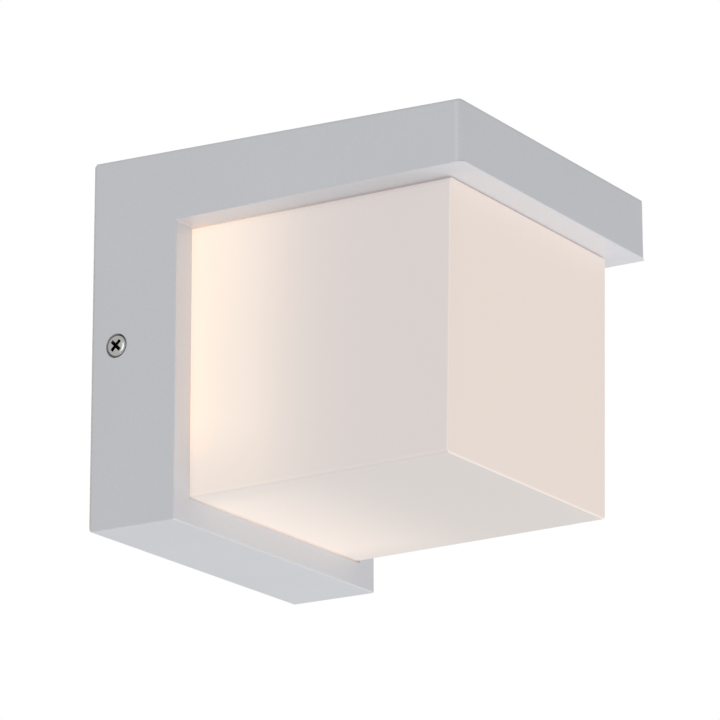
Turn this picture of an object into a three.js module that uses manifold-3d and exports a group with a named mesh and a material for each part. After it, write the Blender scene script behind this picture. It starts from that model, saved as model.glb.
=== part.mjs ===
// A small outdoor wall lantern: a die-cast L-shaped housing whose arm roofs an opal cube diffuser,
// lit from behind by a board of LEDs. It hooks over a steel bracket that is screwed to a junction box,
// and two side screws hold it there.
//
// Millimetres, +Z up. The origin is the centre of the junction box pattern, on the wall plane Y = 0.
// The lantern stands out from the wall towards -Y, and is the same on its left (-X) and right (+X).
import * as THREE from "three";
import { mergeVertices } from "three/addons/utils/BufferGeometryUtils.js";
import Module from "manifold-3d";

const wasm = await Module();
wasm.setup();

// ---- Driving dimensions -------------------------------------------------------------------------

// General clearances.
const SEAT = 0.05; // between two faces that bear on each other
const RUNNING = 0.3; // around a shank, lead or edge that passes through another piece
const CUT = 1; // how far a cutting tool runs past the face it cuts
const ROOT = 0.5; // how far a rib or boss runs into the wall it stands on

// Housing, a shell that is open at the wall.
const WIDTH = 114;
const PROJECTION = 133.3; // wall plane to the arm's front face
const COLUMN_FRONT = 31.4; // wall plane to the column's front face
const DROP = 58; // origin down to the column's underside
const ROOF_FRONT = 56.8; // origin up to the arm's top at its front edge
const ROOF_FALL = 3.9; // how much lower the roof is at its front edge than at the wall, for the rain
const ARM_THICKNESS = 19.9; // at the front edge
const WALL = 3;
const ARM_CORNER = 2.5; // radius of the arm's two upright front edges
const EDGE = 1; // radius of the long edges across the front and bottom

// Foam gasket between the housing's rim and the wall.
const GASKET_FOAM = 0.8;
const GASKET_INSET = 0.4;
const WEEP_WIDTH = 8; // gap in the foam's bottom run that lets water out

// Opal diffuser, with moulding draft.
const DIFFUSER_WIDTH = 96.2;
const DIFFUSER_PROJECTION = 92.5; // beyond the column's front face, along its top edge
const DIFFUSER_BOTTOM = 49.5; // origin down to its underside, at the column
const DIFFUSER_WALL = 2.5;
const DIFFUSER_GAP = 0.35; // all round it, in its opening and under the arm
const SIDE_DRAFT = 0.6; // what each side loses towards the front
const UNDERSIDE_DRAFT = 1.2; // how far its underside rises towards the front
const FRONT_DRAFT = 1.8; // how far its front face leans back at the bottom
const FLANGE_WIDTH = 2.5;
const FLANGE_THICKNESS = 2;
const GASKET_SILICONE = 0.8;

// Heat sink plate, which clamps the diffuser's flange and carries the electrics.
const PLATE_THICKNESS = 2;
const PLATE_TOP = 46.7;
const PLATE_GAP = 0.4; // to the housing's inner faces
const PLATE_SCREW_INSET = 2.6; // screw axis in from the housing's inner faces
const PLATE_SCREW_TOP = 43.6; // height of the two upper screws
const SCREW_PAD = 4.7; // size of the corner pads that the plate's screws bite into
const RIB_HEIGHT = 7; // of the upper screw ribs, above the arm's floor

// LED board.
const BOARD_MARGIN_X = 10.6; // diffuser's side to the board's edge, which leaves room for the leads
const BOARD_MARGIN_Z = 13; // the same above and below
const BOARD_THICKNESS = 1.6;
const LED_COLUMNS = 4;
const LED_ROWS = 3;
const LED_EDGE = 12; // outermost LED's centre to the board's edge
const LED_SIZE = [3.5, 0.7, 2.8];

// Wall bracket, folded from steel sheet.
const BRACKET_SHEET = 1.5;
const BRACKET_WIDTH = 92;
const BRACKET_HEIGHT = 100;
const BRACKET_CORNER = 10;
const TAB_WIDTH = 16;
const TAB_LENGTH = 14.5; // wall plane to the tab's free end
const TAB_GAP = 0.4; // tab to the housing's screw rib
const TAB_COLLAR = 2; // length of the extruded collar that carries the thread
const DISH_RADIUS = 18; // embossed dish round the cable entry
const DISH_HEIGHT = 3;
const EARTH_PAD_RADIUS = 7;
const EARTH_PAD = [28, -27]; // X and Z of the bracket's embossed earth pad
const SLOT_WIDTH = 4.6;
const SLOT_UPRIGHT = [33.4, 44.45]; // slot centre's travel along Z: 3 1/2 inch box screws and closer ones
const SLOT_LEVEL = [32, 40.5]; // the same along X

// Side screws, #6-32 pan heads, and their sealing washers.
const SIDE_SCREW_SETBACK = 9.3; // wall plane to the screw axis
const SIDE_SCREW = { head: 3.43, height: 2.46, shank: 1.75, length: 9.5, recess: 1.5 };
const RECESS_DEPTH = 3.4;
const RECESS_RADIUS = 3.95;
const WASHER_RADIUS = 3.2;
const WASHER_THICKNESS = 0.6;
const SCREW_RIB_HALF = 6.5; // half the height of the rib behind the counterbore
const SCREW_RIB_DEPTH = 2.8; // how far that rib stands in from the side wall

// Driver, an enclosed power supply on the back of the plate.
const DRIVER_WIDTH = 62;
const DRIVER_HEIGHT = 32;
const DRIVER_DEPTH = 15;
const DRIVER_MIDDLE = 24; // height of its centre
const DRIVER_WALL = 1.5;
const DRIVER_EAR = 7; // length of each mounting ear

// Terminal block, three poles.
const POLES = 3;
const POLE_PITCH = 10;
const BLOCK_WIDTH = 34;
const BLOCK_HEIGHT = 17;
const BLOCK_DEPTH = 12;
const BLOCK_MIDDLE = -34; // height of its centre

// Small fasteners.
const M25 = { head: 2.3, height: 1.7, shank: 1.25, length: 5.5, recess: 1 };
const M3 = { head: 2.8, height: 1.9, shank: 1.5, length: 3.2, recess: 1.1 };
const M4_EARTH = { head: 3.8, height: 2.6, shank: 1.9, length: 4.2, recess: 1.4 };
const BLOCK_SCREW_LENGTH = 5.4;
const EARTH_SCREW_LENGTH = 2.6;
const CLAMP_SCREW = { head: 1.7, height: 1.4, shank: 1.4, length: 3, recess: 0.7 };
const LEAD_RADIUS = 0.7;
const LEAD_GAP = 0.3; // between two leads that share a hole
const LEAD_BEND = 5;
const LEAD_STEP = 1.7; // length of each straight facet along a lead

// ---- Dimensions worked out from them ------------------------------------------------------------

const halfWidth = WIDTH / 2;
const innerHalf = halfWidth - WALL;
const rimY = -GASKET_FOAM;
const columnFrontY = -COLUMN_FRONT;
const columnInnerY = columnFrontY + WALL;
const armUnderside = ROOF_FRONT - ARM_THICKNESS;
const armFloor = armUnderside + WALL;
const columnFloor = -DROP + WALL;
const roofAt = (y) => ROOF_FRONT + ROOF_FALL * (1 + y / PROJECTION);

const diffuserHalf = DIFFUSER_WIDTH / 2;
const diffuserTop = armUnderside - DIFFUSER_GAP;
const flangeFrontY = columnInnerY + GASKET_SILICONE + SEAT;
const flangeRearY = flangeFrontY + FLANGE_THICKNESS;
const flangeHalf = diffuserHalf + FLANGE_WIDTH;
const flangeBottom = -DIFFUSER_BOTTOM - FLANGE_WIDTH;
const flangeTop = diffuserTop + FLANGE_WIDTH;

const plateFrontY = flangeRearY + SEAT;
const plateRearY = plateFrontY + PLATE_THICKNESS;
const plateHalf = innerHalf - PLATE_GAP;
const plateBottom = columnFloor + PLATE_GAP;
const plateScrewX = innerHalf - PLATE_SCREW_INSET;
const plateScrewLow = columnFloor + PLATE_SCREW_INSET;
const padEdge = innerHalf - SCREW_PAD; // inner face of the corner pads
const padTop = columnFloor + SCREW_PAD - RUNNING;

const boardWidth = DIFFUSER_WIDTH - 2 * BOARD_MARGIN_X;
const boardHeight = diffuserTop + DIFFUSER_BOTTOM - 2 * BOARD_MARGIN_Z;
const ledPitchX = (boardWidth - 2 * LED_EDGE) / (LED_COLUMNS - 1);
const ledPitchZ = (boardHeight - 2 * LED_EDGE) / (LED_ROWS - 1);
const boardMiddle = (diffuserTop - DIFFUSER_BOTTOM) / 2;
const boardRearY = plateFrontY - SEAT;
const boardFrontY = boardRearY - BOARD_THICKNESS;
const boardScrewX = boardWidth / 2 - 5;
const leadHoleX = -(boardWidth / 2 + 4);

const ribInner = innerHalf - SCREW_RIB_DEPTH; // inner face of the side screw ribs
const tabOuter = ribInner - TAB_GAP;
const recessFloor = halfWidth - RECESS_DEPTH;
const screwSeat = recessFloor + SEAT + WASHER_THICKNESS + SEAT; // under the side screw's head
const sideScrewY = -SIDE_SCREW_SETBACK;

const driverFrontY = plateRearY + SEAT;
const driverRearY = driverFrontY + DRIVER_DEPTH;
const driverHalf = DRIVER_WIDTH / 2;
const driverScrewX = driverHalf + DRIVER_EAR / 2;
const driverBoardY = driverFrontY + DRIVER_WALL + 2; // solder side of the driver's own board
const driverPartsY = driverBoardY + 1.6;

// ---- Materials ----------------------------------------------------------------------------------

const finish = (color, roughness, metalness = 0, more = {}) =>
  new THREE.MeshStandardMaterial({ color, roughness, metalness, ...more });

const silverPaint = finish(0xbcbdc1, 0.5, 0.35);
const opal = finish(0xf4efea, 0.4, 0, { emissive: 0xffe2c8, emissiveIntensity: 0.4 });
const zincSteel = finish(0xb9bec4, 0.35, 0.9);
const stainless = finish(0xc9c7c2, 0.25, 1);
const brass = finish(0xb99a55, 0.35, 1);
const aluminium = finish(0xc3c6c9, 0.4, 0.9);
const whiteFoam = finish(0xe3e3e0, 0.9);
const silicone = finish(0xd8d6d0, 0.6);
const blackRubber = finish(0x26262a, 0.8);
const whiteMask = finish(0xf3f3f0, 0.45);
const ledPhosphor = finish(0xf1d56a, 0.4, 0, { emissive: 0xffd9a0, emissiveIntensity: 1 });
const whitePlastic = finish(0xe6e6e2, 0.5);
const greenBoard = finish(0x2c6b45, 0.5);
const darkPart = finish(0x35363a, 0.5);
const canBlue = finish(0x2f4468, 0.4, 0.3);
const ferriteTape = finish(0xd9b33c, 0.5);
const greenPaint = finish(0x3d8f4e, 0.35, 0.6);
const redPvc = finish(0xb3322b, 0.45);
const blackPvc = finish(0x2b2b2d, 0.45);
const whitePvc = finish(0xdedbd4, 0.45);
const greenPvc = finish(0x3f8d4c, 0.45);

// ---- Solid modelling helpers --------------------------------------------------------------------

/** A closed three.js geometry as a solid that can be cut and joined. */
function solidOf(geometry) {
  const bare = geometry.index ? geometry.toNonIndexed() : geometry.clone();
  bare.deleteAttribute("normal");
  bare.deleteAttribute("uv");
  const merged = mergeVertices(bare, 1e-4);
  const vertProperties = merged.attributes.position.array;
  const triVerts = new Uint32Array(merged.index.array);
  return new wasm.Manifold(new wasm.Mesh({ numProp: 3, vertProperties, triVerts }));
}

/** The solid's surface as a three.js geometry. */
function geometryOf(solid) {
  const { vertProperties, triVerts } = solid.getMesh();
  return new THREE.BufferGeometry()
    .setAttribute("position", new THREE.BufferAttribute(vertProperties, 3))
    .setIndex(new THREE.BufferAttribute(triVerts, 1));
}

const join = (first, ...others) => others.reduce((sum, other) => sum.add(other), first);
const cut = (solid, ...tools) => tools.reduce((left, tool) => left.subtract(tool), solid);

/** A block between two opposite corners. */
function block([x0, x1], [y0, y1], [z0, z1]) {
  const box = new THREE.BoxGeometry(Math.abs(x1 - x0), Math.abs(y1 - y0), Math.abs(z1 - z0));
  return solidOf(box.translate((x0 + x1) / 2, (y0 + y1) / 2, (z0 + z1) / 2));
}

/** A rod along one axis, between two places on it. */
function rod(axis, radius, [start, end], [a, b], sides = 24) {
  const shape = new THREE.CylinderGeometry(radius, radius, Math.abs(end - start), sides);
  const middle = (start + end) / 2;
  if (axis === "x") return solidOf(shape.rotateZ(Math.PI / 2).translate(middle, a, b));
  if (axis === "y") return solidOf(shape.translate(a, middle, b));
  return solidOf(shape.rotateX(Math.PI / 2).translate(a, b, middle));
}

const alongX = new THREE.Matrix4().makeBasis(
  new THREE.Vector3(0, 1, 0),
  new THREE.Vector3(0, 0, 1),
  new THREE.Vector3(1, 0, 0),
);
const alongMinusY = new THREE.Matrix4().makeBasis(
  new THREE.Vector3(1, 0, 0),
  new THREE.Vector3(0, 0, 1),
  new THREE.Vector3(0, -1, 0),
);

/** An outline drawn in Y and Z, extruded from x0 to x1. */
function prismX(outline, [x0, x1], curveSegments = 4) {
  const body = new THREE.ExtrudeGeometry(outline, { depth: x1 - x0, bevelEnabled: false, curveSegments });
  return solidOf(body.applyMatrix4(alongX).translate(x0, 0, 0));
}

/** An outline drawn in X and Z, extruded from its rear face towards the front, -Y. */
function prismY(outline, rearY, depth, curveSegments = 4) {
  const body = new THREE.ExtrudeGeometry(outline, { depth, bevelEnabled: false, curveSegments });
  return solidOf(body.applyMatrix4(alongMinusY).translate(0, rearY, 0));
}

/** An outline drawn in X and Y, extruded from z0 to z1. */
function prismZ(outline, [z0, z1], curveSegments = 4) {
  const body = new THREE.ExtrudeGeometry(outline, { depth: z1 - z0, bevelEnabled: false, curveSegments });
  return solidOf(body.translate(0, 0, z0));
}

/** A closed outline through corners [u, v, radius], each rounded by its own radius. */
function roundedOutline(corners) {
  const shape = new THREE.Shape();
  corners.forEach(([u, v, radius = 0], i) => {
    const corner = new THREE.Vector2(u, v);
    const towards = ([nu, nv]) => new THREE.Vector2(nu, nv).sub(corner).setLength(radius).add(corner);
    const start = towards(corners.at(i - 1));
    const end = towards(corners[(i + 1) % corners.length]);
    if (i === 0) shape.moveTo(start.x, start.y);
    else shape.lineTo(start.x, start.y);
    if (radius) shape.quadraticCurveTo(u, v, end.x, end.y);
  });
  shape.closePath();
  return shape;
}

const rectangle = ([u0, u1], [v0, v1], radius = 0) =>
  roundedOutline([
    [u0, v0, radius],
    [u1, v0, radius],
    [u1, v1, radius],
    [u0, v1, radius],
  ]);

/** A turned piece: its profile of [radius, height] pairs, spun about the Y axis. */
function turned(profile, sides = 24) {
  return solidOf(new THREE.LatheGeometry(profile.map(([r, h]) => new THREE.Vector2(r, h)), sides));
}

/** A block whose section at frontY differs from that at rearY. */
function taperedBlock(rear, front) {
  const box = new THREE.BoxGeometry(1, 1, 1);
  const place = box.attributes.position;
  for (let i = 0; i < place.count; i++) {
    const isFront = place.getY(i) < 0;
    const isLow = place.getZ(i) < 0;
    const end = isFront ? front : rear;
    const y = isFront && isLow ? front.lowY : end.y;
    place.setXYZ(i, Math.sign(place.getX(i)) * end.half, y, isLow ? end.low : end.high);
  }
  return solidOf(box);
}

/** An insulated lead of round section: straight runs between corners [x, y, z, bend]. */
function lead(corners) {
  const points = corners.map(([x, y, z]) => new THREE.Vector3(x, y, z));
  const path = new THREE.CurvePath();
  let reached = points[0];
  corners.slice(1, -1).forEach(([, , , bend], i) => {
    const corner = points[i + 1];
    const towards = (point) => point.clone().sub(corner).setLength(bend).add(corner);
    const [start, end] = [towards(points[i]), towards(points[i + 2])];
    path.add(new THREE.LineCurve3(reached, start));
    path.add(new THREE.QuadraticBezierCurve3(start, corner, end));
    reached = end;
  });
  path.add(new THREE.LineCurve3(reached, points.at(-1)));
  const section = new THREE.Shape().absarc(0, 0, LEAD_RADIUS, 0, 2 * Math.PI);
  const steps = Math.round(path.getLength() / LEAD_STEP);
  return solidOf(new THREE.ExtrudeGeometry(section, { steps, curveSegments: 4, extrudePath: path }));
}

/** A cross recess for a screwdriver, cut down from height `top` along Y. */
function crossRecess(radius, top) {
  const depth = radius * 0.9;
  const wing = radius * 0.34;
  const bar = () => new THREE.BoxGeometry(2 * radius, depth + CUT, wing);
  const place = (geometry) => solidOf(geometry.translate(0, top - depth / 2 + CUT / 2, 0));
  return join(place(bar().rotateY(Math.PI / 4)), place(bar().rotateY(-Math.PI / 4)));
}

/** A pan head screw along Y: its head towards +Y, its underhead face at Y = 0. */
function panScrew({ head, height, shank, length, recess }, sides = 24) {
  const body = turned(
    [
      [0, -length],
      [shank * 0.7, -length],
      [shank, -length + shank * 0.5],
      [shank, 0],
      [head, 0],
      [head, height * 0.45],
      [head * 0.9, height * 0.78],
      [head * 0.55, height],
      [0, height],
    ],
    sides,
  );
  return cut(body, crossRecess(recess, height));
}

// ---- Assembly -----------------------------------------------------------------------------------

const lantern = new THREE.Group();
lantern.name = "outdoor_wall_lantern";

/** Adds a named piece to the lantern. A turn is an Euler angle in radians. */
function add(name, solid, material, position = [0, 0, 0], turn = [0, 0, 0]) {
  const mesh = new THREE.Mesh(geometryOf(solid), material);
  mesh.name = name;
  mesh.position.set(...position);
  mesh.rotation.set(...turn);
  lantern.add(mesh);
}

const HEAD_TO_WALL = [0, 0, 0]; // a screw driven from behind, head towards +Y
const HEAD_TO_FRONT = [Math.PI, 0, 0];
const HEAD_TO_LEFT = [0, 0, Math.PI / 2];
const HEAD_TO_RIGHT = [0, 0, -Math.PI / 2];
const sides = [
  { name: "left", sign: -1, turn: HEAD_TO_LEFT },
  { name: "right", sign: 1, turn: HEAD_TO_RIGHT },
];
/** Orders a pair of signed places from low to high. */
const span = (a, b) => (a < b ? [a, b] : [b, a]);

// ---- Housing ------------------------------------------------------------------------------------

function housingSolid() {
  const across = [-halfWidth, halfWidth];
  const outside = prismX(
    roundedOutline([
      [rimY, -DROP],
      [columnFrontY, -DROP, EDGE],
      [columnFrontY, armUnderside],
      [-PROJECTION, armUnderside, EDGE],
      [-PROJECTION, ROOF_FRONT, EDGE],
      [rimY, roofAt(rimY)],
    ].reverse()),
    across,
  );
  const plan = prismZ(
    rectangle(across, [-PROJECTION, rimY + 2 * ARM_CORNER], ARM_CORNER),
    [-DROP - CUT, ROOF_FRONT + ROOF_FALL + CUT],
  );
  const innerFrontY = -PROJECTION + WALL;
  const hollow = prismX(
    roundedOutline([
      [rimY + CUT, columnFloor],
      [columnInnerY, columnFloor],
      [columnInnerY, armFloor],
      [innerFrontY, armFloor],
      [innerFrontY, roofAt(innerFrontY) - WALL],
      [rimY + CUT, roofAt(rimY + CUT) - WALL],
    ].reverse()),
    [-innerHalf, innerHalf],
  );
  const openingHalf = diffuserHalf + DIFFUSER_GAP;
  const opening = block(
    [-openingHalf, openingHalf],
    [columnFrontY - CUT, columnInnerY + CUT],
    [-DIFFUSER_BOTTOM - DIFFUSER_GAP, armUnderside],
  );
  let shell = cut(outside.intersect(plan), hollow, opening);
  for (const { sign } of sides) {
    const screwRib = block(
      span(sign * ribInner, sign * (innerHalf + ROOT)),
      [columnInnerY - ROOT, rimY - 1.2],
      [-SCREW_RIB_HALF, SCREW_RIB_HALF],
    );
    const cornerPad = block(
      span(sign * padEdge, sign * (innerHalf + ROOT)),
      [columnInnerY - ROOT, plateFrontY - SEAT],
      [columnFloor - ROOT, padTop],
    );
    const upperRib = block(
      span(sign * padEdge, sign * (innerHalf + ROOT)),
      [innerFrontY - ROOT, plateFrontY - SEAT],
      [armFloor - ROOT, armFloor + RIB_HEIGHT],
    );
    const outward = (from, to) => span(sign * from, sign * to);
    const counterbore = rod("x", RECESS_RADIUS, outward(recessFloor, halfWidth + CUT), [sideScrewY, 0], 32);
    const shankHole = rod("x", SIDE_SCREW.shank + RUNNING, outward(ribInner - CUT, halfWidth), [sideScrewY, 0]);
    const pilotDepth = [plateFrontY - M25.length, plateFrontY + CUT];
    const pilots = [plateScrewLow, PLATE_SCREW_TOP].map((z) =>
      rod("y", M25.shank + RUNNING / 2, pilotDepth, [sign * plateScrewX, z], 16),
    );
    shell = cut(join(shell, screwRib, cornerPad, upperRib), counterbore, shankHole, ...pilots);
  }
  return shell;
}

function wallGasketSolid() {
  const half = halfWidth - GASKET_INSET;
  const width = WALL - 2 * GASKET_INSET;
  const low = -DROP + GASKET_INSET;
  const high = roofAt(rimY) - GASKET_INSET;
  const ring = cut(
    prismY(rectangle([-half, half], [low, high], 1), 0, GASKET_FOAM - SEAT),
    prismY(rectangle([width - half, half - width], [low + width, high - width], 1), CUT, GASKET_FOAM + 2 * CUT),
  );
  const weep = block([-WEEP_WIDTH / 2, WEEP_WIDTH / 2], [-GASKET_FOAM - CUT, CUT], [low - CUT, low + width + CUT]);
  return cut(ring, weep);
}

add("housing", housingSolid(), silverPaint);
add("wall_gasket", wallGasketSolid(), whiteFoam);

// ---- Diffuser -----------------------------------------------------------------------------------

/** The flange's outline: a rectangle whose two lower corners are notched round the housing's pads. */
function flangeOutline() {
  const notchX = padEdge - RUNNING;
  const notchZ = padTop + RUNNING;
  return roundedOutline([
    [-notchX, flangeBottom],
    [notchX, flangeBottom],
    [notchX, notchZ],
    [flangeHalf, notchZ],
    [flangeHalf, flangeTop],
    [-flangeHalf, flangeTop],
    [-flangeHalf, notchZ],
    [-notchX, notchZ],
  ]);
}

/** The diffuser's drafted form, shrunk on every side by `inset`. */
function diffuserForm(inset, rearY) {
  const frontY = -(COLUMN_FRONT + DIFFUSER_PROJECTION) + inset;
  const high = diffuserTop - inset;
  return taperedBlock(
    { half: diffuserHalf - inset, y: rearY, low: -DIFFUSER_BOTTOM + inset, high },
    {
      half: diffuserHalf - SIDE_DRAFT - inset,
      y: frontY,
      lowY: frontY + FRONT_DRAFT,
      low: -DIFFUSER_BOTTOM + UNDERSIDE_DRAFT + inset,
      high,
    },
  );
}

function diffuserSolid() {
  const flange = prismY(flangeOutline(), flangeRearY, FLANGE_THICKNESS);
  return cut(join(diffuserForm(0, flangeRearY), flange), diffuserForm(DIFFUSER_WALL, flangeRearY + CUT));
}

function diffuserGasketSolid() {
  const openingHalf = diffuserHalf + DIFFUSER_GAP;
  const hole = block(
    [-openingHalf, openingHalf],
    [columnInnerY - CUT, flangeRearY],
    [-DIFFUSER_BOTTOM - DIFFUSER_GAP, armUnderside],
  );
  return cut(prismY(flangeOutline(), flangeFrontY - SEAT, GASKET_SILICONE - SEAT), hole);
}

add("diffuser", diffuserSolid(), opal);
add("diffuser_gasket", diffuserGasketSolid(), silicone);

// ---- Heat sink plate and LED board --------------------------------------------------------------

/** Cuts a clearance hole for each screw axis [x, z] through a sheet that lies across Y. */
const clearanceHoles = (screw, places, fromTo) =>
  places.map(([x, z]) => rod("y", screw.shank + RUNNING, fromTo, [x, z], 16));

const plateScrews = sides.flatMap(({ sign }) => [
  [sign * plateScrewX, plateScrewLow],
  [sign * plateScrewX, PLATE_SCREW_TOP],
]);
const boardScrews = sides.map(({ sign }) => [sign * boardScrewX, boardMiddle + (sign * ledPitchZ) / 2]);
const driverScrews = sides.map(({ sign }) => [sign * driverScrewX, DRIVER_MIDDLE]);
const earthScrewPlace = [-31, BLOCK_MIDDLE];
const blockScrewPlace = [-POLE_PITCH / 2, BLOCK_MIDDLE];
const LEAD_GROMMET = { hole: 2.4, lip: 3.3, bore: 1.65, lipThickness: 0.9 };

function heatSinkPlateSolid() {
  const sheet = prismY(
    rectangle([-plateHalf, plateHalf], [plateBottom, PLATE_TOP], 2),
    plateRearY,
    PLATE_THICKNESS,
  );
  const through = [plateFrontY - CUT, plateRearY + CUT];
  const notch = ribInner - PLATE_GAP;
  const ribNotches = sides.map(({ sign }) =>
    block(
      span(sign * notch, sign * (plateHalf + CUT)),
      through,
      [-SCREW_RIB_HALF - PLATE_GAP, SCREW_RIB_HALF + PLATE_GAP],
    ),
  );
  return cut(
    sheet,
    ...ribNotches,
    ...clearanceHoles(M25, plateScrews, through),
    ...clearanceHoles(M3, [...boardScrews, ...driverScrews, earthScrewPlace, blockScrewPlace], through),
    rod("y", LEAD_GROMMET.hole, through, [leadHoleX, boardMiddle]),
  );
}

function ledBoardSolid() {
  const [halfX, halfZ] = [boardWidth / 2, boardHeight / 2];
  const sheet = prismY(
    rectangle([-halfX, halfX], [boardMiddle - halfZ, boardMiddle + halfZ], 2),
    boardRearY,
    BOARD_THICKNESS,
  );
  return cut(sheet, ...clearanceHoles(M3, boardScrews, [boardFrontY - CUT, boardRearY + CUT]));
}

add("heat_sink_plate", heatSinkPlateSolid(), aluminium);
plateScrews.forEach(([x, z], i) =>
  add(`heat_sink_screw_${i + 1}`, panScrew(M25, 12), zincSteel, [x, plateRearY + SEAT, z], HEAD_TO_WALL),
);
add("led_board", ledBoardSolid(), whiteMask);
boardScrews.forEach(([x, z], i) =>
  add(`led_board_screw_${sides[i].name}`, panScrew(M3, 12), zincSteel, [x, boardFrontY - SEAT, z], HEAD_TO_FRONT),
);

/** One LED package: a white body with a shallow chamfer, 3.5 x 2.8 mm. */
function ledPackageSolid() {
  const [width, height, depth] = LED_SIZE;
  const body = new THREE.CylinderGeometry(Math.SQRT1_2, Math.SQRT1_2 * 0.88, 1, 4, 1);
  return solidOf(body.rotateY(Math.PI / 4).scale(width, height, depth));
}

for (let row = 0; row < LED_ROWS; row++) {
  for (let column = 0; column < LED_COLUMNS; column++) {
    const x = (column - (LED_COLUMNS - 1) / 2) * ledPitchX;
    const z = boardMiddle + ((LED_ROWS - 1) / 2 - row) * ledPitchZ;
    const number = String(row * LED_COLUMNS + column + 1).padStart(2, "0");
    const y = boardFrontY - SEAT - LED_SIZE[1] / 2;
    add(`led_package_${number}`, ledPackageSolid(), ledPhosphor, [x, y, z]);
  }
}

/** A rubber grommet along Y, centred on a sheet of the given thickness. */
function grommetSolid({ hole, lip, bore, lipThickness }, sheetThickness, sides = 24) {
  const neck = hole - RUNNING / 2;
  const half = sheetThickness / 2 + SEAT;
  const end = half + lipThickness;
  return turned(
    [
      [bore, -end],
      [lip, -end],
      [lip, -half],
      [neck, -half],
      [neck, half],
      [lip, half],
      [lip, end],
      [bore, end],
      [bore, -end],
    ],
    sides,
  );
}

const plateMiddleY = (plateFrontY + plateRearY) / 2;
add(
  "lead_grommet",
  grommetSolid(LEAD_GROMMET, PLATE_THICKNESS, 16),
  blackRubber,
  [leadHoleX, plateMiddleY, boardMiddle],
);

// ---- Wall bracket -------------------------------------------------------------------------------

const CABLE_GROMMET = { hole: 11, lip: 13, bore: 7, lipThickness: 1.2 };
const dishRearY = -DISH_HEIGHT;
const dishFrontY = dishRearY - BRACKET_SHEET;

/** A slot across Y whose ends are round, between two centres. */
function slot([x0, z0], [x1, z1], radius) {
  const upright = x0 === x1;
  const through = [-BRACKET_SHEET - CUT, CUT];
  const middle = upright
    ? block([x0 - radius, x0 + radius], through, [z0, z1])
    : block([x0, x1], through, [z0 - radius, z0 + radius]);
  return join(middle, rod("y", radius, through, [x0, z0], 16), rod("y", radius, through, [x1, z1], 16));
}

/** An embossed round pad: a cup raised by DISH_HEIGHT towards the front. */
function emboss(sheet, radius, [x, z]) {
  const raised = join(sheet, rod("y", radius, [dishFrontY, 0], [x, z]));
  return cut(raised, rod("y", radius - BRACKET_SHEET, [dishRearY, CUT], [x, z]));
}

function bracketSolid() {
  const [halfX, halfZ] = [BRACKET_WIDTH / 2, BRACKET_HEIGHT / 2];
  let sheet = prismY(rectangle([-halfX, halfX], [-halfZ, halfZ], BRACKET_CORNER), 0, BRACKET_SHEET);
  for (const { sign } of sides) {
    const [near, far] = [tabOuter - BRACKET_SHEET, tabOuter];
    const ear = block(span(sign * (halfX - CUT), sign * far), [-BRACKET_SHEET, 0], [-TAB_WIDTH / 2, TAB_WIDTH / 2]);
    const tab = block(span(sign * near, sign * far), [-TAB_LENGTH, 0], [-TAB_WIDTH / 2, TAB_WIDTH / 2]);
    const collarRadius = SIDE_SCREW.shank + RUNNING + 1;
    const collar = rod("x", collarRadius, span(sign * (near - TAB_COLLAR), sign * far), [sideScrewY, 0]);
    sheet = join(sheet, ear, tab, collar);
    const thread = span(sign * (near - TAB_COLLAR - CUT), sign * (far + CUT));
    sheet = cut(sheet, rod("x", SIDE_SCREW.shank + RUNNING, thread, [sideScrewY, 0]));
    sheet = cut(
      sheet,
      slot(...span(sign * SLOT_LEVEL[0], sign * SLOT_LEVEL[1]).map((x) => [x, 0]), SLOT_WIDTH / 2),
      slot(...span(sign * SLOT_UPRIGHT[0], sign * SLOT_UPRIGHT[1]).map((z) => [0, z]), SLOT_WIDTH / 2),
    );
  }
  sheet = emboss(emboss(sheet, DISH_RADIUS, [0, 0]), EARTH_PAD_RADIUS, EARTH_PAD);
  return cut(
    sheet,
    rod("y", CABLE_GROMMET.hole, [dishFrontY - CUT, CUT], [0, 0], 32),
    rod("y", M4_EARTH.shank + RUNNING, [dishFrontY - CUT, CUT], EARTH_PAD, 16),
  );
}

add("mounting_bracket", bracketSolid(), zincSteel);
add(
  "cable_grommet",
  grommetSolid(CABLE_GROMMET, BRACKET_SHEET, 32),
  blackRubber,
  [0, dishRearY - BRACKET_SHEET / 2, 0],
);
add(
  "bracket_earth_screw",
  panScrew(M4_EARTH),
  greenPaint,
  [EARTH_PAD[0], dishFrontY - SEAT, EARTH_PAD[1]],
  HEAD_TO_FRONT,
);

// ---- Side screws --------------------------------------------------------------------------------

function washerSolid(bore, radius, thickness) {
  const profile = [[bore, 0], [radius, 0], [radius, thickness], [bore, thickness], [bore, 0]];
  return turned(profile);
}

for (const { name, sign, turn } of sides) {
  const washer = washerSolid(SIDE_SCREW.shank + RUNNING, WASHER_RADIUS, WASHER_THICKNESS);
  add(`side_screw_washer_${name}`, washer, blackRubber, [sign * (recessFloor + SEAT), sideScrewY, 0], turn);
  add(`side_screw_${name}`, panScrew(SIDE_SCREW, 32), stainless, [sign * screwSeat, sideScrewY, 0], turn);
}

// ---- Driver -------------------------------------------------------------------------------------

const driverTop = DRIVER_MIDDLE + DRIVER_HEIGHT / 2;
const driverBottom = DRIVER_MIDDLE - DRIVER_HEIGHT / 2;
const coverFrontY = driverRearY - DRIVER_WALL;
const driverLeadZ = [DRIVER_MIDDLE - 5, DRIVER_MIDDLE - 9]; // heights of the two leads at each end
const driverLeadY = driverPartsY + 2.4;
const EAR_WIDTH = 10;

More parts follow.
